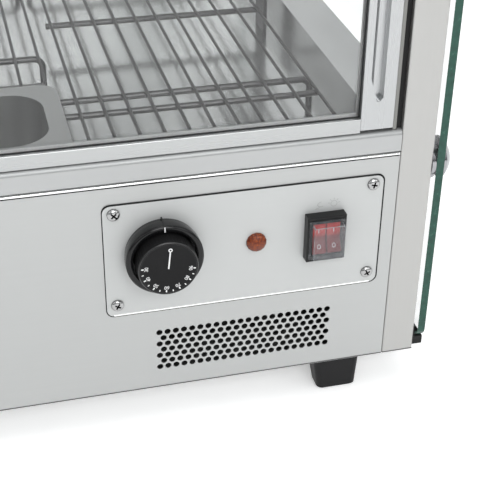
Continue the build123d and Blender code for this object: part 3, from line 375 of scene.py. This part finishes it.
LOOK = {
    "base_floor": M_FASCIA, "side_skin_left": M_SKIN, "side_skin_right": M_SKIN,
    "customer_fascia": M_FASCIA, "operator_fascia": M_FASCIA, "roof_cover": M_FASCIA,
    "ceiling_liner": M_FASCIA, "front_glass_channel": M_ALU,
    "corner_post_left": M_POST, "corner_post_right": M_POST, "control_plate": M_PLATE,
    "deck_tray": M_DECK, "pan_collar": M_DECK, "water_pan": M_PAN,
    "rack_left": M_WIRE, "rack_right": M_WIRE, "rack_middle": M_WIRE,
    "wire_shelf_lower": M_WIRE, "wire_shelf_upper": M_WIRE,
    "uprights": M_BAR, "shelf_brackets": M_BAR, "heating_elements": M_ELEMENT,
    "door_sill": M_SILL, "door_head_track": M_ALU, "jamb_channels": M_JAMB,
    "jamb_seals": M_RUBBER, "glass_rest_pads": M_RUBBER,
    "side_glass_left": M_GLASS_X, "side_glass_right": M_GLASS_X, "front_glass": M_GLASS_F,
    "glass_caps": M_CAP, "glass_spacers": M_CAP, "plate_screws": M_SCREW,
    "knob_bezel": M_BLACK, "thermostat_knob": M_KNOB, "switch_frame": M_FRAME,
    "thermostat_body": M_BLACK, "cable_gland": M_BLACK, "feet": M_FOOT,
    "pilot_lens": M_AMBER, "rocker_left": M_RED, "rocker_right": M_RED,
    "splash_cover": M_COVER, "lamp_tube": M_LAMP, "lamp_diffuser": M_OPAL,
}
for side in ("left", "right"):
    LOOK[f"door_{side}_handle_stile"] = M_ALU_V
    LOOK[f"door_{side}_meeting_stile"] = M_ALU_V
    LOOK[f"door_{side}_bottom_rail"] = M_ALU
    LOOK[f"door_{side}_top_rail"] = M_ALU
    LOOK[f"door_{side}_glass"] = M_GLASS_Y
    LOOK[f"door_{side}_gasket"] = M_RUBBER
    LOOK[f"door_{side}_glides"] = M_NYLON



def gasket(name, y_split):
    """Glazing strip: black outer lip, grey body behind it."""
    m = Mat(name)
    g = m.noise(m.coords(), 700.0, 3.0, 0.5)
    sep = m.n("ShaderNodeSeparateXYZ")
    m.link(m.coords(), sep.inputs["Vector"])
    back = m.math("GREATER_THAN", sep.outputs["Y"], y_split)
    dark = m.mixrgb(m.remap(g, 0, 1), (0.010, 0.010, 0.011), (0.016, 0.016, 0.017))
    pale = m.mixrgb(m.remap(g, 0, 1), (0.55, 0.555, 0.555), (0.62, 0.625, 0.625))
    p = m.principled(Base_Color=m.mixrgb(back, dark, pale), Roughness=m.remap(g, 0.45, 0.60))
    m.link(m.bump(g, 0.05, 0.00006), p.inputs["Normal"])
    return m.done(p.outputs["BSDF"])


for side, shift in (("right", 0.0), ("left", 15.0)):
    LOOK[f"door_{side}_gasket"] = gasket(f"gasket_{side}", (-256.6 + shift) * MM)

BEVEL = {  # millimetres of edge rounding on folded, cut and moulded edges
    "base_floor": 0.25, "side_skin_left": 0.35, "side_skin_right": 0.35, "customer_fascia": 0.4,
    "control_plate": 0.9, "door_sill": 0.3, "door_head_track": 0.3, "jamb_channels": 0.3,
    "jamb_seals": 0.4, "glass_rest_pads": 0.6, "feet": 0.8, "uprights": 0.25, "shelf_brackets": 0.3,
    "side_glass_left": 0.6, "side_glass_right": 0.6, "front_glass": 0.5,
    "front_glass_channel": 0.2, "corner_post_left": 0.3, "corner_post_right": 0.3,
    "cable_gland": 0.4, "switch_frame": 0.3, "ceiling_liner": 0.2, "water_pan": 0.3, "operator_fascia": 0.45,
    "pan_collar": 0.25,
}

for name, ob in NODES.items():
    me = ob.data
    me.materials.clear()
    me.materials.append(LOOK[name])
    for p in me.polygons:
        p.use_smooth = True
    w = ob.modifiers.new("weld", "WELD")
    w.merge_threshold = 0.000002
    if name in BEVEL:
        d = ob.modifiers.new("flats", "DECIMATE")
        d.decimate_type = "DISSOLVE"
        d.angle_limit = math.radians(0.6)
        b = ob.modifiers.new("bevel", "BEVEL")
        b.width = BEVEL[name] * MM
        b.segments = 3
        b.limit_method = "ANGLE"
        b.angle_limit = math.radians(50)
        b.use_clamp_overlap = True
    e = ob.modifiers.new("split", "EDGE_SPLIT")
    e.split_angle = math.radians(38)
    if name in BEVEL:
        wn = ob.modifiers.new("weighted", "WEIGHTED_NORMAL")
        wn.mode = "FACE_AREA"
        wn.weight = 100

# ---------------------------------------------------------------------------
# Mesh helpers for the detail pieces
# ---------------------------------------------------------------------------


def add_mesh(name, verts, faces, mat, body, smooth=True, split=38):
    me = bpy.data.meshes.new(name)
    me.from_pydata([tuple(v) for v in verts], [], faces)
    me.update()
    bm = bmesh.new()
    bm.from_mesh(me)
    bmesh.ops.recalc_face_normals(bm, faces=bm.faces)
    bm.to_mesh(me)
    bm.free()
    for p in me.polygons:
        p.use_smooth = smooth
    ob = bpy.data.objects.new(name, me)
    bpy.context.scene.collection.objects.link(ob)
    me.materials.append(mat)
    if smooth:
        e = ob.modifiers.new("split", "EDGE_SPLIT")
        e.split_angle = math.radians(split)
    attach(ob, body)
    return ob


def lathe(name, profile, centre, mat, body, n=128, wobble=None, split=30, axis="-y"):
    """Closed turned piece. profile: (radius, outward mm) list, from the axis or a bore and back."""
    cx, cz, y0 = centre
    verts, faces = [], []
    m = len(profile)
    for j in range(n):
        a = 2 * math.pi * j / n
        for i, (r, h) in enumerate(profile):
            rr = r if wobble is None else wobble(i, r, j, n)
            verts.append(((cx + rr * math.sin(a)) * MM, (y0 - h) * MM, (cz + rr * math.cos(a)) * MM))
    for j in range(n):
        k = (j + 1) % n
        for i in range(m):
            i2 = (i + 1) % m
            a, b, c, d = j * m + i, j * m + i2, k * m + i2, k * m + i
            faces.append((a, b, c, d))
    ob = add_mesh(name, verts, faces, mat, body, True, split)
    bm = bmesh.new()
    bm.from_mesh(ob.data)
    bmesh.ops.remove_doubles(bm, verts=bm.verts, dist=1e-7)
    bmesh.ops.dissolve_degenerate(bm, edges=bm.edges, dist=1e-7)
    bmesh.ops.recalc_face_normals(bm, faces=bm.faces)
    bm.to_mesh(ob.data)
    bm.free()
    for p in ob.data.polygons:
        p.use_smooth = True
    return ob


def slab(name, outline, y_front, depth, mat, body, bevel=0.0):
    """Thin closed plate in an XZ plane: outline (x, z) in mm, front face at y_front."""
    n = len(outline)
    verts = [(x * MM, y_front * MM, z * MM) for x, z in outline]
    verts += [(x * MM, (y_front + depth) * MM, z * MM) for x, z in outline]
    faces = [tuple(range(n)), tuple(range(2 * n - 1, n - 1, -1))]
    for i in range(n):
        j = (i + 1) % n
        faces.append((i, j, n + j, n + i))
    return add_mesh(name, verts, faces, mat, body, True, 30)


def ring_slab(name, cx, cz, ro, ri, y_front, depth, mat, body, n=40, sx=1.0):
    """Flat annulus in an XZ plane."""
    verts, faces = [], []
    for j in range(n):
        a = 2 * math.pi * j / n
        s, c = math.sin(a) * sx, math.cos(a)
        for r, y in ((ro, y_front), (ri, y_front), (ri, y_front + depth), (ro, y_front + depth)):
            verts.append(((cx + r * s) * MM, y * MM, (cz + r * c) * MM))
    for j in range(n):
        k = (j + 1) % n
        for i in range(4):
            i2 = (i + 1) % 4
            faces.append((j * 4 + i, j * 4 + i2, k * 4 + i2, k * 4 + i))
    return add_mesh(name, verts, faces, mat, body, True, 30)


def bar(name, x0, z0, x1, z1, w, y_front, depth, mat, body, cap=6):
    """Rounded-end stroke between two points in an XZ plane."""
    d = math.hypot(x1 - x0, z1 - z0) or 1e-6
    ux, uz = (x1 - x0) / d, (z1 - z0) / d
    base = math.atan2(uz, ux)
    pts = []
    for i in range(cap + 1):
        a = base - math.pi / 2 + math.pi * i / cap
        pts.append((x1 + w / 2 * math.cos(a), z1 + w / 2 * math.sin(a)))
    for i in range(cap + 1):
        a = base + math.pi / 2 + math.pi * i / cap
        pts.append((x0 + w / 2 * math.cos(a), z0 + w / 2 * math.sin(a)))
    return slab(name, pts, y_front, depth, mat, body)


# ---------------------------------------------------------------------------
# Thermostat knob and bezel
# ---------------------------------------------------------------------------
KX, KZ = 138.2, 152.0
Y_CP = -263.5


def arc_pts(cx, cy, r, a0, a1, n):
    return [(cx + r * math.cos(math.radians(a0 + (a1 - a0) * i / n)),
             cy + r * math.sin(math.radians(a0 + (a1 - a0) * i / n))) for i in range(n + 1)]


H = 22.9
prof = [(3.05, 1.8), (20.9, 1.8)]
prof += [(20.9, 3.0), (20.75, H - 2.0)]
prof += arc_pts(19.65, H - 1.05, 1.05, 6, 90, 8)
prof += [(19.3, H - 0.02), (19.15, H - 0.22), (18.9, H - 0.28), (0.02, H - 0.28), (0.02, H - 9.0), (3.05, H - 9.0)]


def knurl(i, r, j, n):
    # fine finger ridges on the side only
    if i in (2, 3) and j % 4 in (0, 1):
        return r - 0.26
    return r


knob = lathe("knob_shell", prof, (KX, KZ, Y_CP), M_KNOB, "knob", 240, knurl, 34)
# the spindle behind it
spindle = lathe("knob_spindle", [(0.02, 12.0), (2.6, 12.0), (3.0, 11.6), (3.0, -18.0), (2.6, -18.4), (0.02, -18.4)],
                (KX, KZ, Y_CP), M_SCREW, "knob", 48, None, 34)
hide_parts("thermostat_knob")

BH = 12.7
bez = [(5.6, 0.0), (25.9, 0.0), (26.0, 0.5), (26.25, 4.0), (26.35, 4.3), (26.75, 4.45), (26.85, 4.8), (27.0, 9.2)]
bez += arc_pts(24.9, BH - 2.1, 2.1, 10, 84, 9)
bez += [(24.2, BH - 0.02), (23.2, BH - 0.15), (22.6, BH - 0.35), (22.3, BH - 0.8), (22.2, 1.0), (5.6, 1.0)]
bezel = lathe("bezel_ring", bez, (KX, KZ, Y_CP), M_BLACK, "cabinet", 192, None, 26)
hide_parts("knob_bezel")
# locating rib on its outer wall at twelve o'clock
rib = []
for (x, z) in ((-0.6, 25.6), (-0.45, 27.3), (0.45, 27.3), (0.6, 25.6)):
    rib.append((KX + x, KZ + z))
slab("bezel_rib", rib, Y_CP - BH + 0.9, BH - 0.9, M_BLACK, "cabinet")
bar("bezel_index", KX, KZ + 22.95, KX, KZ + 26.1, 0.8, Y_CP - BH - 0.04, 0.4, M_PRINT, "cabinet")

# dial print, turned with the knob: the dial rests 6 degrees clockwise
REST = 5.9
YF = Y_CP - H + 0.22


def polar(r, deg):
    a = math.radians(deg + REST)
    return KX + r * math.sin(a), KZ + r * math.cos(a)


zx, zz = polar(14.5, 0)
ring_slab("dial_zero", zx, zz, 1.45, 0.72, YF, 0.12, M_PRINT, "knob")
a0, a1 = polar(13.0, 0), polar(0.3, 0)
bar("dial_pointer", a0[0], a0[1], a1[0], a1[1], 0.95, YF, 0.12, M_PRINT, "knob")
for k in range(13):
    deg = 270 - 15 * k
    big = k % 2 == 0
    p0, p1 = polar(17.35 if big else 17.55, deg), polar(18.35, deg)
    bar(f"dial_tick_{k:02d}", p0[0], p0[1], p1[0], p1[1], 0.95 if big else 0.75, YF, 0.12, M_PRINT, "knob",
        4)


def numeral(name, text, r, deg, size):
    cu = bpy.data.curves.new(name, "FONT")
    cu.body = text
    cu.size = size * MM
    cu.align_x = "CENTER"
    cu.align_y = "CENTER"
    cu.extrude = 0.05 * MM
    cu.offset = 0.02 * MM
    cu.resolution_u = 3
    tmp = bpy.data.objects.new(name + "_t", cu)
    me = bpy.data.meshes.new_from_object(tmp)
    bpy.data.objects.remove(tmp)
    x, z = polar(r, deg)
    a = math.radians(deg + REST)
    # local X -> right of the digit, local Y -> outward, local Z -> towards the operator
    right = Vector((math.cos(a), 0, -math.sin(a)))
    up = Vector((math.sin(a), 0, math.cos(a)))
    out = Vector((0, -1, 0))
    mat = Matrix((
        (right.x, up.x, out.x, x * MM),
        (right.y, up.y, out.y, (YF + 0.06) * MM),
        (right.z, up.z, out.z, z * MM),
        (0, 0, 0, 1)))
    me.transform(mat)
    ob = bpy.data.objects.new(name, me)
    bpy.context.scene.collection.objects.link(ob)
    me.materials.clear()
    me.materials.append(M_PRINT)
    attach(ob, "knob")
    return ob


for val in range(30, 100, 10):
    numeral(f"dial_num_{val}", str(val), 15.1, 270 - 3 * (val - 30), 3.6)

# ---------------------------------------------------------------------------
# Pilot lamp: bezel-less faceted dome
# ---------------------------------------------------------------------------
PX, PZ = 205.0, 150.0
rings = [(7.3, 0.0), (7.3, 1.3), (6.6, 2.6), (5.2, 3.9), (3.3, 4.8), (1.5, 5.35)]
verts, faces = [], []
NF = 14
for i, (r, h) in enumerate(rings):
    off = 0.5 if i % 2 and i > 1 else 0.0
    for j in range(NF):
        a = 2 * math.pi * (j + off) / NF
        verts.append(((PX + r * math.sin(a)) * MM, (Y_CP - h) * MM, (PZ + r * math.cos(a)) * MM))
for i in range(len(rings) - 1):
    sh0 = 0.5 if i % 2 and i > 1 else 0.0
    sh1 = 0.5 if (i + 1) % 2 and (i + 1) > 1 else 0.0
    for j in range(NF):
        k = (j + 1) % NF
        A, B = i * NF + j, i * NF + k
        C, D = (i + 1) * NF + j, (i + 1) * NF + k
        if sh0 == sh1:
            faces.append((A, B, D, C))
        elif sh1 > sh0:
            faces += [(A, B, C), (B, D, C)]
        else:
            faces += [(A, B, D), (A, D, C)]
top = len(verts)
verts.append((PX * MM, (Y_CP - 5.6) * MM, PZ * MM))
base = (len(rings) - 1) * NF
for j in range(NF):
    faces.append((base + j, base + (j + 1) % NF, top))
faces.append(tuple(range(NF)))
lens = add_mesh("pilot_dome", verts, faces, M_AMBER, "cabinet", False, 30)
stem = lathe("pilot_stem", [(0.02, 0.0), (5.9, 0.0), (5.9, -21.0), (5.2, -23.4), (0.02, -23.4)], (PX, PZ, Y_CP), M_BLACK,
             "cabinet", 48, None, 30)
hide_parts("pilot_lens")

# ---------------------------------------------------------------------------
# Plate screws: pan heads with a cross recess
# ---------------------------------------------------------------------------


def pan_screw(name, x, z, turn):
    """Domed head, recess walls sloping to a pointed bottom."""
    n = 64
    hr, hh = 4.5, 2.3
    ringz = [(hr, 0.0), (hr, 0.55), (4.25, 1.1), (3.8, 1.6), (3.1, 2.0), (2.45, 2.2)]
    verts, faces = [], []

    def P(r, a, h):
        return ((x + r * math.sin(a)) * MM, (Y_CP - h) * MM, (z + r * math.cos(a)) * MM)

    for r, h in ringz:
        for j in range(n):
            verts.append(P(r, 2 * math.pi * j / n, h))
    for i in range(len(ringz) - 1):
        for j in range(n):
            k = (j + 1) % n
            faces.append((i * n + j, i * n + k, (i + 1) * n + k, (i + 1) * n + j))
    # cross outline sampled at the same angles, so that the top face knits to it
    def cross_r(a):
        a = (a - turn) % (math.pi / 2)
        a = min(a, math.pi / 2 - a)
        w, L = 0.62, 2.3
        if a < math.atan2(w, L):
            return L / math.cos(a)
        return w / max(math.sin(a), 1e-6) if a > 0 else L
    lvl = [(1.0, 2.28), (0.86, 1.3), (0.45, 0.75)]
    start = len(verts)
    for s, h in lvl:
        for j in range(n):
            a = 2 * math.pi * j / n
            verts.append(P(min(cross_r(a), 2.35) * s, a, h))
    last = (len(ringz) - 1) * n
    for j in range(n):
        k = (j + 1) % n
        faces.append((last + j, last + k, start + k, start + j))
    for i in range(len(lvl) - 1):
        for j in range(n):
            k = (j + 1) % n
            faces.append((start + i * n + j, start + i * n + k, start + (i + 1) * n + k, start + (i + 1) * n + j))
    tip = len(verts)
    verts.append(P(0, 0, 0.6))
    b = start + (len(lvl) - 1) * n
    for j in range(n):
        faces.append((b + j, b + (j + 1) % n, tip))
    faces.append(tuple(range(n)))
    ob = add_mesh(name, verts, faces, M_SCREW, "cabinet", True, 40)
    ob.data.materials.append(M_PAINTED_SHADE)
    # painted shade: the cross recess and the foot of the head's rim take the near-black material
    for p in ob.data.polygons:
        q = p.center
        r = math.hypot(q.x - x * MM, q.z - z * MM)
        h = Y_CP - q.y / MM
        if (r < 2.4 * MM and h < 2.1) or (r > 4.3 * MM and h < 0.5):
            p.material_index = 1
    return ob


first = None
for i, (x, z, t) in enumerate(((106.0, 112.1, 0.5), (289.1, 112.1, 1.1), (106.0, 185.2, 0.8), (289.1, 185.2, 0.25))):
    s = pan_screw(f"pan_screw_{i + 1}", x, z, t)
    first = first or s
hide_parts("plate_screws")

# ---------------------------------------------------------------------------
# Switch: icons over it and marks on the paddles, the marks partly a painted highlight
# ---------------------------------------------------------------------------
SX, SZ = 254.1, 149.9
YI = Y_CP - 0.06


def rounded_rect(x0, x1, z0, z1, r, n=8):
    pts = []
    for cx, cz, a in ((x1 - r, z1 - r, 0), (x0 + r, z1 - r, 90), (x0 + r, z0 + r, 180), (x1 - r, z0 + r, 270)):
        for i in range(n + 1):
            t = math.radians(a + 90 * i / n)
            pts.append((cx + r * math.cos(t), cz + r * math.sin(t)))
    return pts


def frame_slab(name, outer, inner, y_front, depth, mat, body):
    """Closed flat frame between two outlines with the same number of points."""
    n = len(outer)
    verts, faces = [], []
    for y in (y_front, y_front + depth):
        verts += [(x * MM, y * MM, z * MM) for x, z in outer]
        verts += [(x * MM, y * MM, z * MM) for x, z in inner]
    for i in range(n):
        j = (i + 1) % n
        o0, o1, i0, i1 = i, j, n + i, n + j
        faces.append((o0, o1, i1, i0))
        faces.append((2 * n + o0, 2 * n + o1, 2 * n + i1, 2 * n + i0))
        faces.append((o0, o1, 2 * n + o1, 2 * n + o0))
        faces.append((i0, i1, 2 * n + i1, 2 * n + i0))
    return add_mesh(name, verts, faces, mat, body, True, 30)


# thin black ring showing round the control plate: a painted shadow line along its edge
frame_slab("plate_painted_shadow", rounded_rect(98.4 - 0.42, 296.6 + 1.45, 103.0 - 1.5, 191.8 + 0.42, 5.9),
           rounded_rect(98.4 + 1.2, 296.6 - 1.2, 103.0 + 1.2, 191.8 - 1.2, 4.3), -262.0 - 0.35, 0.35, M_RUBBER, "cabinet")

# near-white strip along the lower edge of the control plate: a painted highlight
bar("plate_edge_highlight", 98.4 + 5.2, 103.55, 296.6 - 5.2, 103.55, 1.15, Y_CP - 0.10, 0.2, M_HIGHLIGHT_BEAD, "cabinet", 2)

# near support rods of the side racks
def rod_x(name, x0, x1, y, z, r):
    n = 20
    verts = []
    for x in (x0, x1):
        for k in range(n):
            a = 2 * math.pi * k / n
            verts.append((x * MM, (y + r * math.cos(a)) * MM, (z + r * math.sin(a)) * MM))
    verts += [((x0 - 0.6) * MM, y * MM, z * MM), ((x1 + 0.6) * MM, y * MM, z * MM)]
    faces = [(k, (k + 1) % n, n + (k + 1) % n, n + k) for k in range(n)]
    faces += [(2 * n, (k + 1) % n, k) for k in range(n)] + [(2 * n + 1, n + k, n + (k + 1) % n) for k in range(n)]
    return add_mesh(name, verts, faces, M_WIRE, "cabinet", True, 40)


rod_x("rack_right_near_rod", 83.2, 277.0, -168.0, 212.65, 2.4)
rod_x("rack_left_near_rod", -277.0, -83.2, -168.0, 212.65, 2.4)

# lamp icon, right
lx, lz = SX + 6.6, SZ + 23.6
ring_slab("icon_lamp", lx, lz, 2.45, 2.05, YI, 0.1, M_ICON, "cabinet", 36)
for k in range(5):
    a = math.radians(-80 + 40 * k)
    bar(f"icon_ray_{k}", lx + 3.2 * math.sin(a), lz + 3.2 * math.cos(a), lx + 4.4 * math.sin(a), lz + 4.4 * math.cos(a),
        0.42, YI, 0.1, M_ICON, "cabinet", 4)
# heat icon, left: a bowl-shaped swirl under two short waves
hx, hz = SX - 2.2, SZ + 23.4
for k in range(9):
    a0, a1 = math.radians(100 + 22 * k), math.radians(100 + 22 * (k + 1))
    r0, r1 = 3.2 - 0.2 * k, 3.2 - 0.2 * (k + 1)
    bar(f"icon_swirl_{k}", hx + 1.25 * r0 * math.cos(a0), hz + 0.8 * r0 * math.sin(a0), hx + 1.25 * r1 * math.cos(a1),
        hz + 0.8 * r1 * math.sin(a1), 0.42, YI, 0.1, M_ICON, "cabinet", 4)
for k in range(2):
    bar(f"icon_wave_{k}", hx - 4.4 + 1.5 * k, hz - 3.0 + 0.6 * k, hx - 3.0 + 1.5 * k, hz - 2.2 + 0.6 * k, 0.4, YI, 0.1,
        M_ICON, "cabinet", 4)

# white marks on the paddles, partly moulded marks and partly a painted highlight where the paddle ribs catch light; the
# paddles rest with their upper halves pressed in
PIVOT_Y, TILT = -266.0, math.radians(-10.0)


def paddle_point(p, q):
    pp = p * math.cos(TILT) + q * math.sin(TILT)
    qq = -p * math.sin(TILT) + q * math.cos(TILT)
    return PIVOT_Y - pp, SZ + qq


def paddle_ring(name, cx, q0, up, body):
    """Oval outline lying on the upper (up=1) or lower (up=-1) face of one paddle."""
    n = 36
    ao, bo, ai, bi = 1.35, 1.75, 0.85, 1.25
    L = math.hypot(1.8, 11.6)
    verts, faces = [], []
    for j in range(n):
        t = 2 * math.pi * j / n
        for a, b, lift in ((ao, bo, -0.15), (ao, bo, 0.12), (ai, bi, 0.12), (ai, bi, -0.15)):
            along = q0 + b * math.sin(t)
            u = along / L
            p = 3.6 + 1.8 * u + lift
            y, z = paddle_point(p, up * 11.6 * u)
            verts.append(((cx + a * math.cos(t)) * MM, y * MM, z * MM))
    for j in range(n):
        k = (j + 1) % n
        for i in range(4):
            i2 = (i + 1) % 4
            faces.append((j * 4 + i, j * 4 + i2, k * 4 + i2, k * 4 + i))
    return add_mesh(name, verts, faces, M_MARK_AND_HIGHLIGHT, body, True, 30)


def paddle_bar(name, cx, q0, up, body):
    """Short upright stroke lying on one paddle face."""
    L = math.hypot(1.8, 11.6)
    verts = []
    for along in (q0 - 1.6, q0 + 1.6):
        u = along / L
        for dx in (-0.32, 0.32):
            for lift in (-0.15, 0.12):
                y, z = paddle_point(3.6 + 1.8 * u + lift, up * 11.6 * u)
                verts.append(((cx + dx) * MM, y * MM, z * MM))
    faces = [(0, 1, 3, 2), (4, 6, 7, 5), (0, 4, 5, 1), (2, 3, 7, 6), (0, 2, 6, 4), (1, 5, 7, 3)]
    return add_mesh(name, verts, faces, M_MARK_AND_HIGHLIGHT, body, True, 30)


for side, cx, body in (("left", SX - 5.45, "switch_paddle_left"), ("right", SX + 5.45, "switch_paddle_right")):
    paddle_ring(f"mark_{side}_off", cx, 6.6, -1, body)
    paddle_bar(f"mark_{side}_on", cx, 5.2, 1, body)

# folded top edge of the service fascia: a bead coloured near-white as a painted highlight, over a fine dark strip that
# is a painted shadow
prof = [(0.0, 0.0)]
bead = []
for k in range(9):
    a = math.radians(-90 + 180 * k / 8)
    bead.append((-262.0 - 0.36 * math.cos(a), 206.1 + 0.72 * math.sin(a)))
outline = bead + [(-261.7, 206.82), (-261.7, 205.38)]
nb = len(outline)
verts = [(x * MM, y * MM, z * MM) for x in (-307.4, 307.4) for y, z in outline]
faces = [(i, (i + 1) % nb, nb + (i + 1) % nb, nb + i) for i in range(nb)] + [tuple(range(nb)), tuple(range(nb, 2 * nb))]
add_mesh("fascia_bead", verts, faces, M_HIGHLIGHT_BEAD, "cabinet", True, 50)
bead_shadow_outline = [(-262.12, 204.6), (-262.12, 205.34), (-261.7, 205.34), (-261.7, 204.6)]
verts = [(x * MM, y * MM, z * MM) for x in (-307.4, 307.4) for y, z in bead_shadow_outline]
faces = [(i, (i + 1) % 4, 4 + (i + 1) % 4, 4 + i) for i in range(4)] + [(0, 1, 2, 3), (4, 5, 6, 7)]
add_mesh("fascia_bead_shadow", verts, faces, M_PAINTED_SHADE, "cabinet", True, 30)
# fine dark strip where the fascia and the posts turn under the base: a painted shade line
for k, (xa, xb) in enumerate(((-332.6, -308.2), (-307.4, 307.4), (308.2, 332.6))):
    hem = [(-262.16, 33.3), (-262.16, 34.05), (-261.8, 34.05), (-261.8, 33.3)]
    verts = [(x * MM, y * MM, z * MM) for x in (xa, xb) for y, z in hem]
    add_mesh(f"lower_edge_shade_{k}", verts, faces, M_HEM, "cabinet", True, 30)

# ---------------------------------------------------------------------------
# Stage, lights, camera
# ---------------------------------------------------------------------------


def floor_mat():
    m = Mat("stage_floor")
    cloud = m.noise(m.coords(), 1.4, 2.0, 0.5)
    col = m.mixrgb(m.remap(cloud, 0, 1), (0.90, 0.90, 0.90), (0.93, 0.93, 0.93))
    p = m.principled(Base_Color=col, Roughness=0.9)
    p.inputs["Specular IOR Level"].default_value = 0.1
    p.inputs["Emission Color"].default_value = (1, 1, 1, 1)
    p.inputs["Emission Strength"].default_value = 0.30
    return m.done(p.outputs["BSDF"])


me = bpy.data.meshes.new("stage")
me.from_pydata([(-30, -30, 0), (30, -30, 0), (30, 30, 0), (-30, 30, 0)], [], [(0, 1, 2, 3)])
floor = bpy.data.objects.new("stage", me)
bpy.context.scene.collection.objects.link(floor)
me.materials.append(floor_mat())

world = bpy.data.worlds.new("studio")
bpy.context.scene.world = world
world.use_nodes = True
wt = world.node_tree
wt.nodes.clear()
wo = wt.nodes.new("ShaderNodeOutputWorld")
wb = wt.nodes.new("ShaderNodeBackground")
wc = wt.nodes.new("ShaderNodeTexCoord")
wsep = wt.nodes.new("ShaderNodeSeparateXYZ")
wr = wt.nodes.new("ShaderNodeValToRGB")
wt.links.new(wc.outputs["Generated"], wsep.inputs["Vector"])
wt.links.new(wsep.outputs["Z"], wr.inputs["Fac"])
wr.color_ramp.elements[0].position = 0.02
wr.color_ramp.elements[0].color = (0.16, 0.165, 0.17, 1)
wr.color_ramp.elements[1].position = 0.34
wr.color_ramp.elements[1].color = (0.93, 0.95, 0.96, 1)
wt.links.new(wr.outputs["Color"], wb.inputs["Color"])
wb.inputs["Strength"].default_value = 0.70
wt.links.new(wb.outputs["Background"], wo.inputs["Surface"])


def area(name, loc, target, size, power, color=(1, 1, 1)):
    li = bpy.data.lights.new(name, "AREA")
    li.shape = "RECTANGLE"
    li.size, li.size_y = size
    li.energy = power
    li.color = color
    ob = bpy.data.objects.new(name, li)
    ob.location = loc
    d = Vector(target) - Vector(loc)
    ob.rotation_euler = d.to_track_quat("-Z", "Y").to_euler()
    bpy.context.scene.collection.objects.link(ob)
    return ob


area("soft_top", (0.3, -0.2, 2.6), (0.1, -0.1, 0.2), (2.4, 1.6), 20)
area("soft_front", (0.30, -2.2, 1.55), (0.15, -0.27, 0.15), (1.5, 0.9), 24)
area("soft_right", (2.2, -1.9, 1.6), (0.2, -0.1, 0.25), (1.4, 1.4), 9)
area("soft_left", (-2.4, -1.2, 1.8), (0.0, 0.0, 0.3), (1.2, 1.8), 4)

cam = bpy.data.cameras.new("camera")
cam.sensor_width = 36.0
cam.sensor_fit = "HORIZONTAL"
cam.lens = 1193.006 * 36.0 / 490.0
cam.clip_start = 0.05
cam.clip_end = 60.0
co = bpy.data.objects.new("camera", cam)
right = Vector((0.96643666, -0.25649215, 0.01646081))
up = Vector((0.12378477, 0.52035752, 0.84477577))
back = Vector((-0.22536347, -0.81450428, 0.53482523))
loc = Vector((0.00988, -0.93981, 0.59243))
co.matrix_world = Matrix((
    (right.x, up.x, back.x, loc.x),
    (right.y, up.y, back.y, loc.y),
    (right.z, up.z, back.z, loc.z),
    (0, 0, 0, 1)))
bpy.context.scene.collection.objects.link(co)
bpy.context.scene.camera = co
bpy.context.scene.view_settings.view_transform = "Standard"
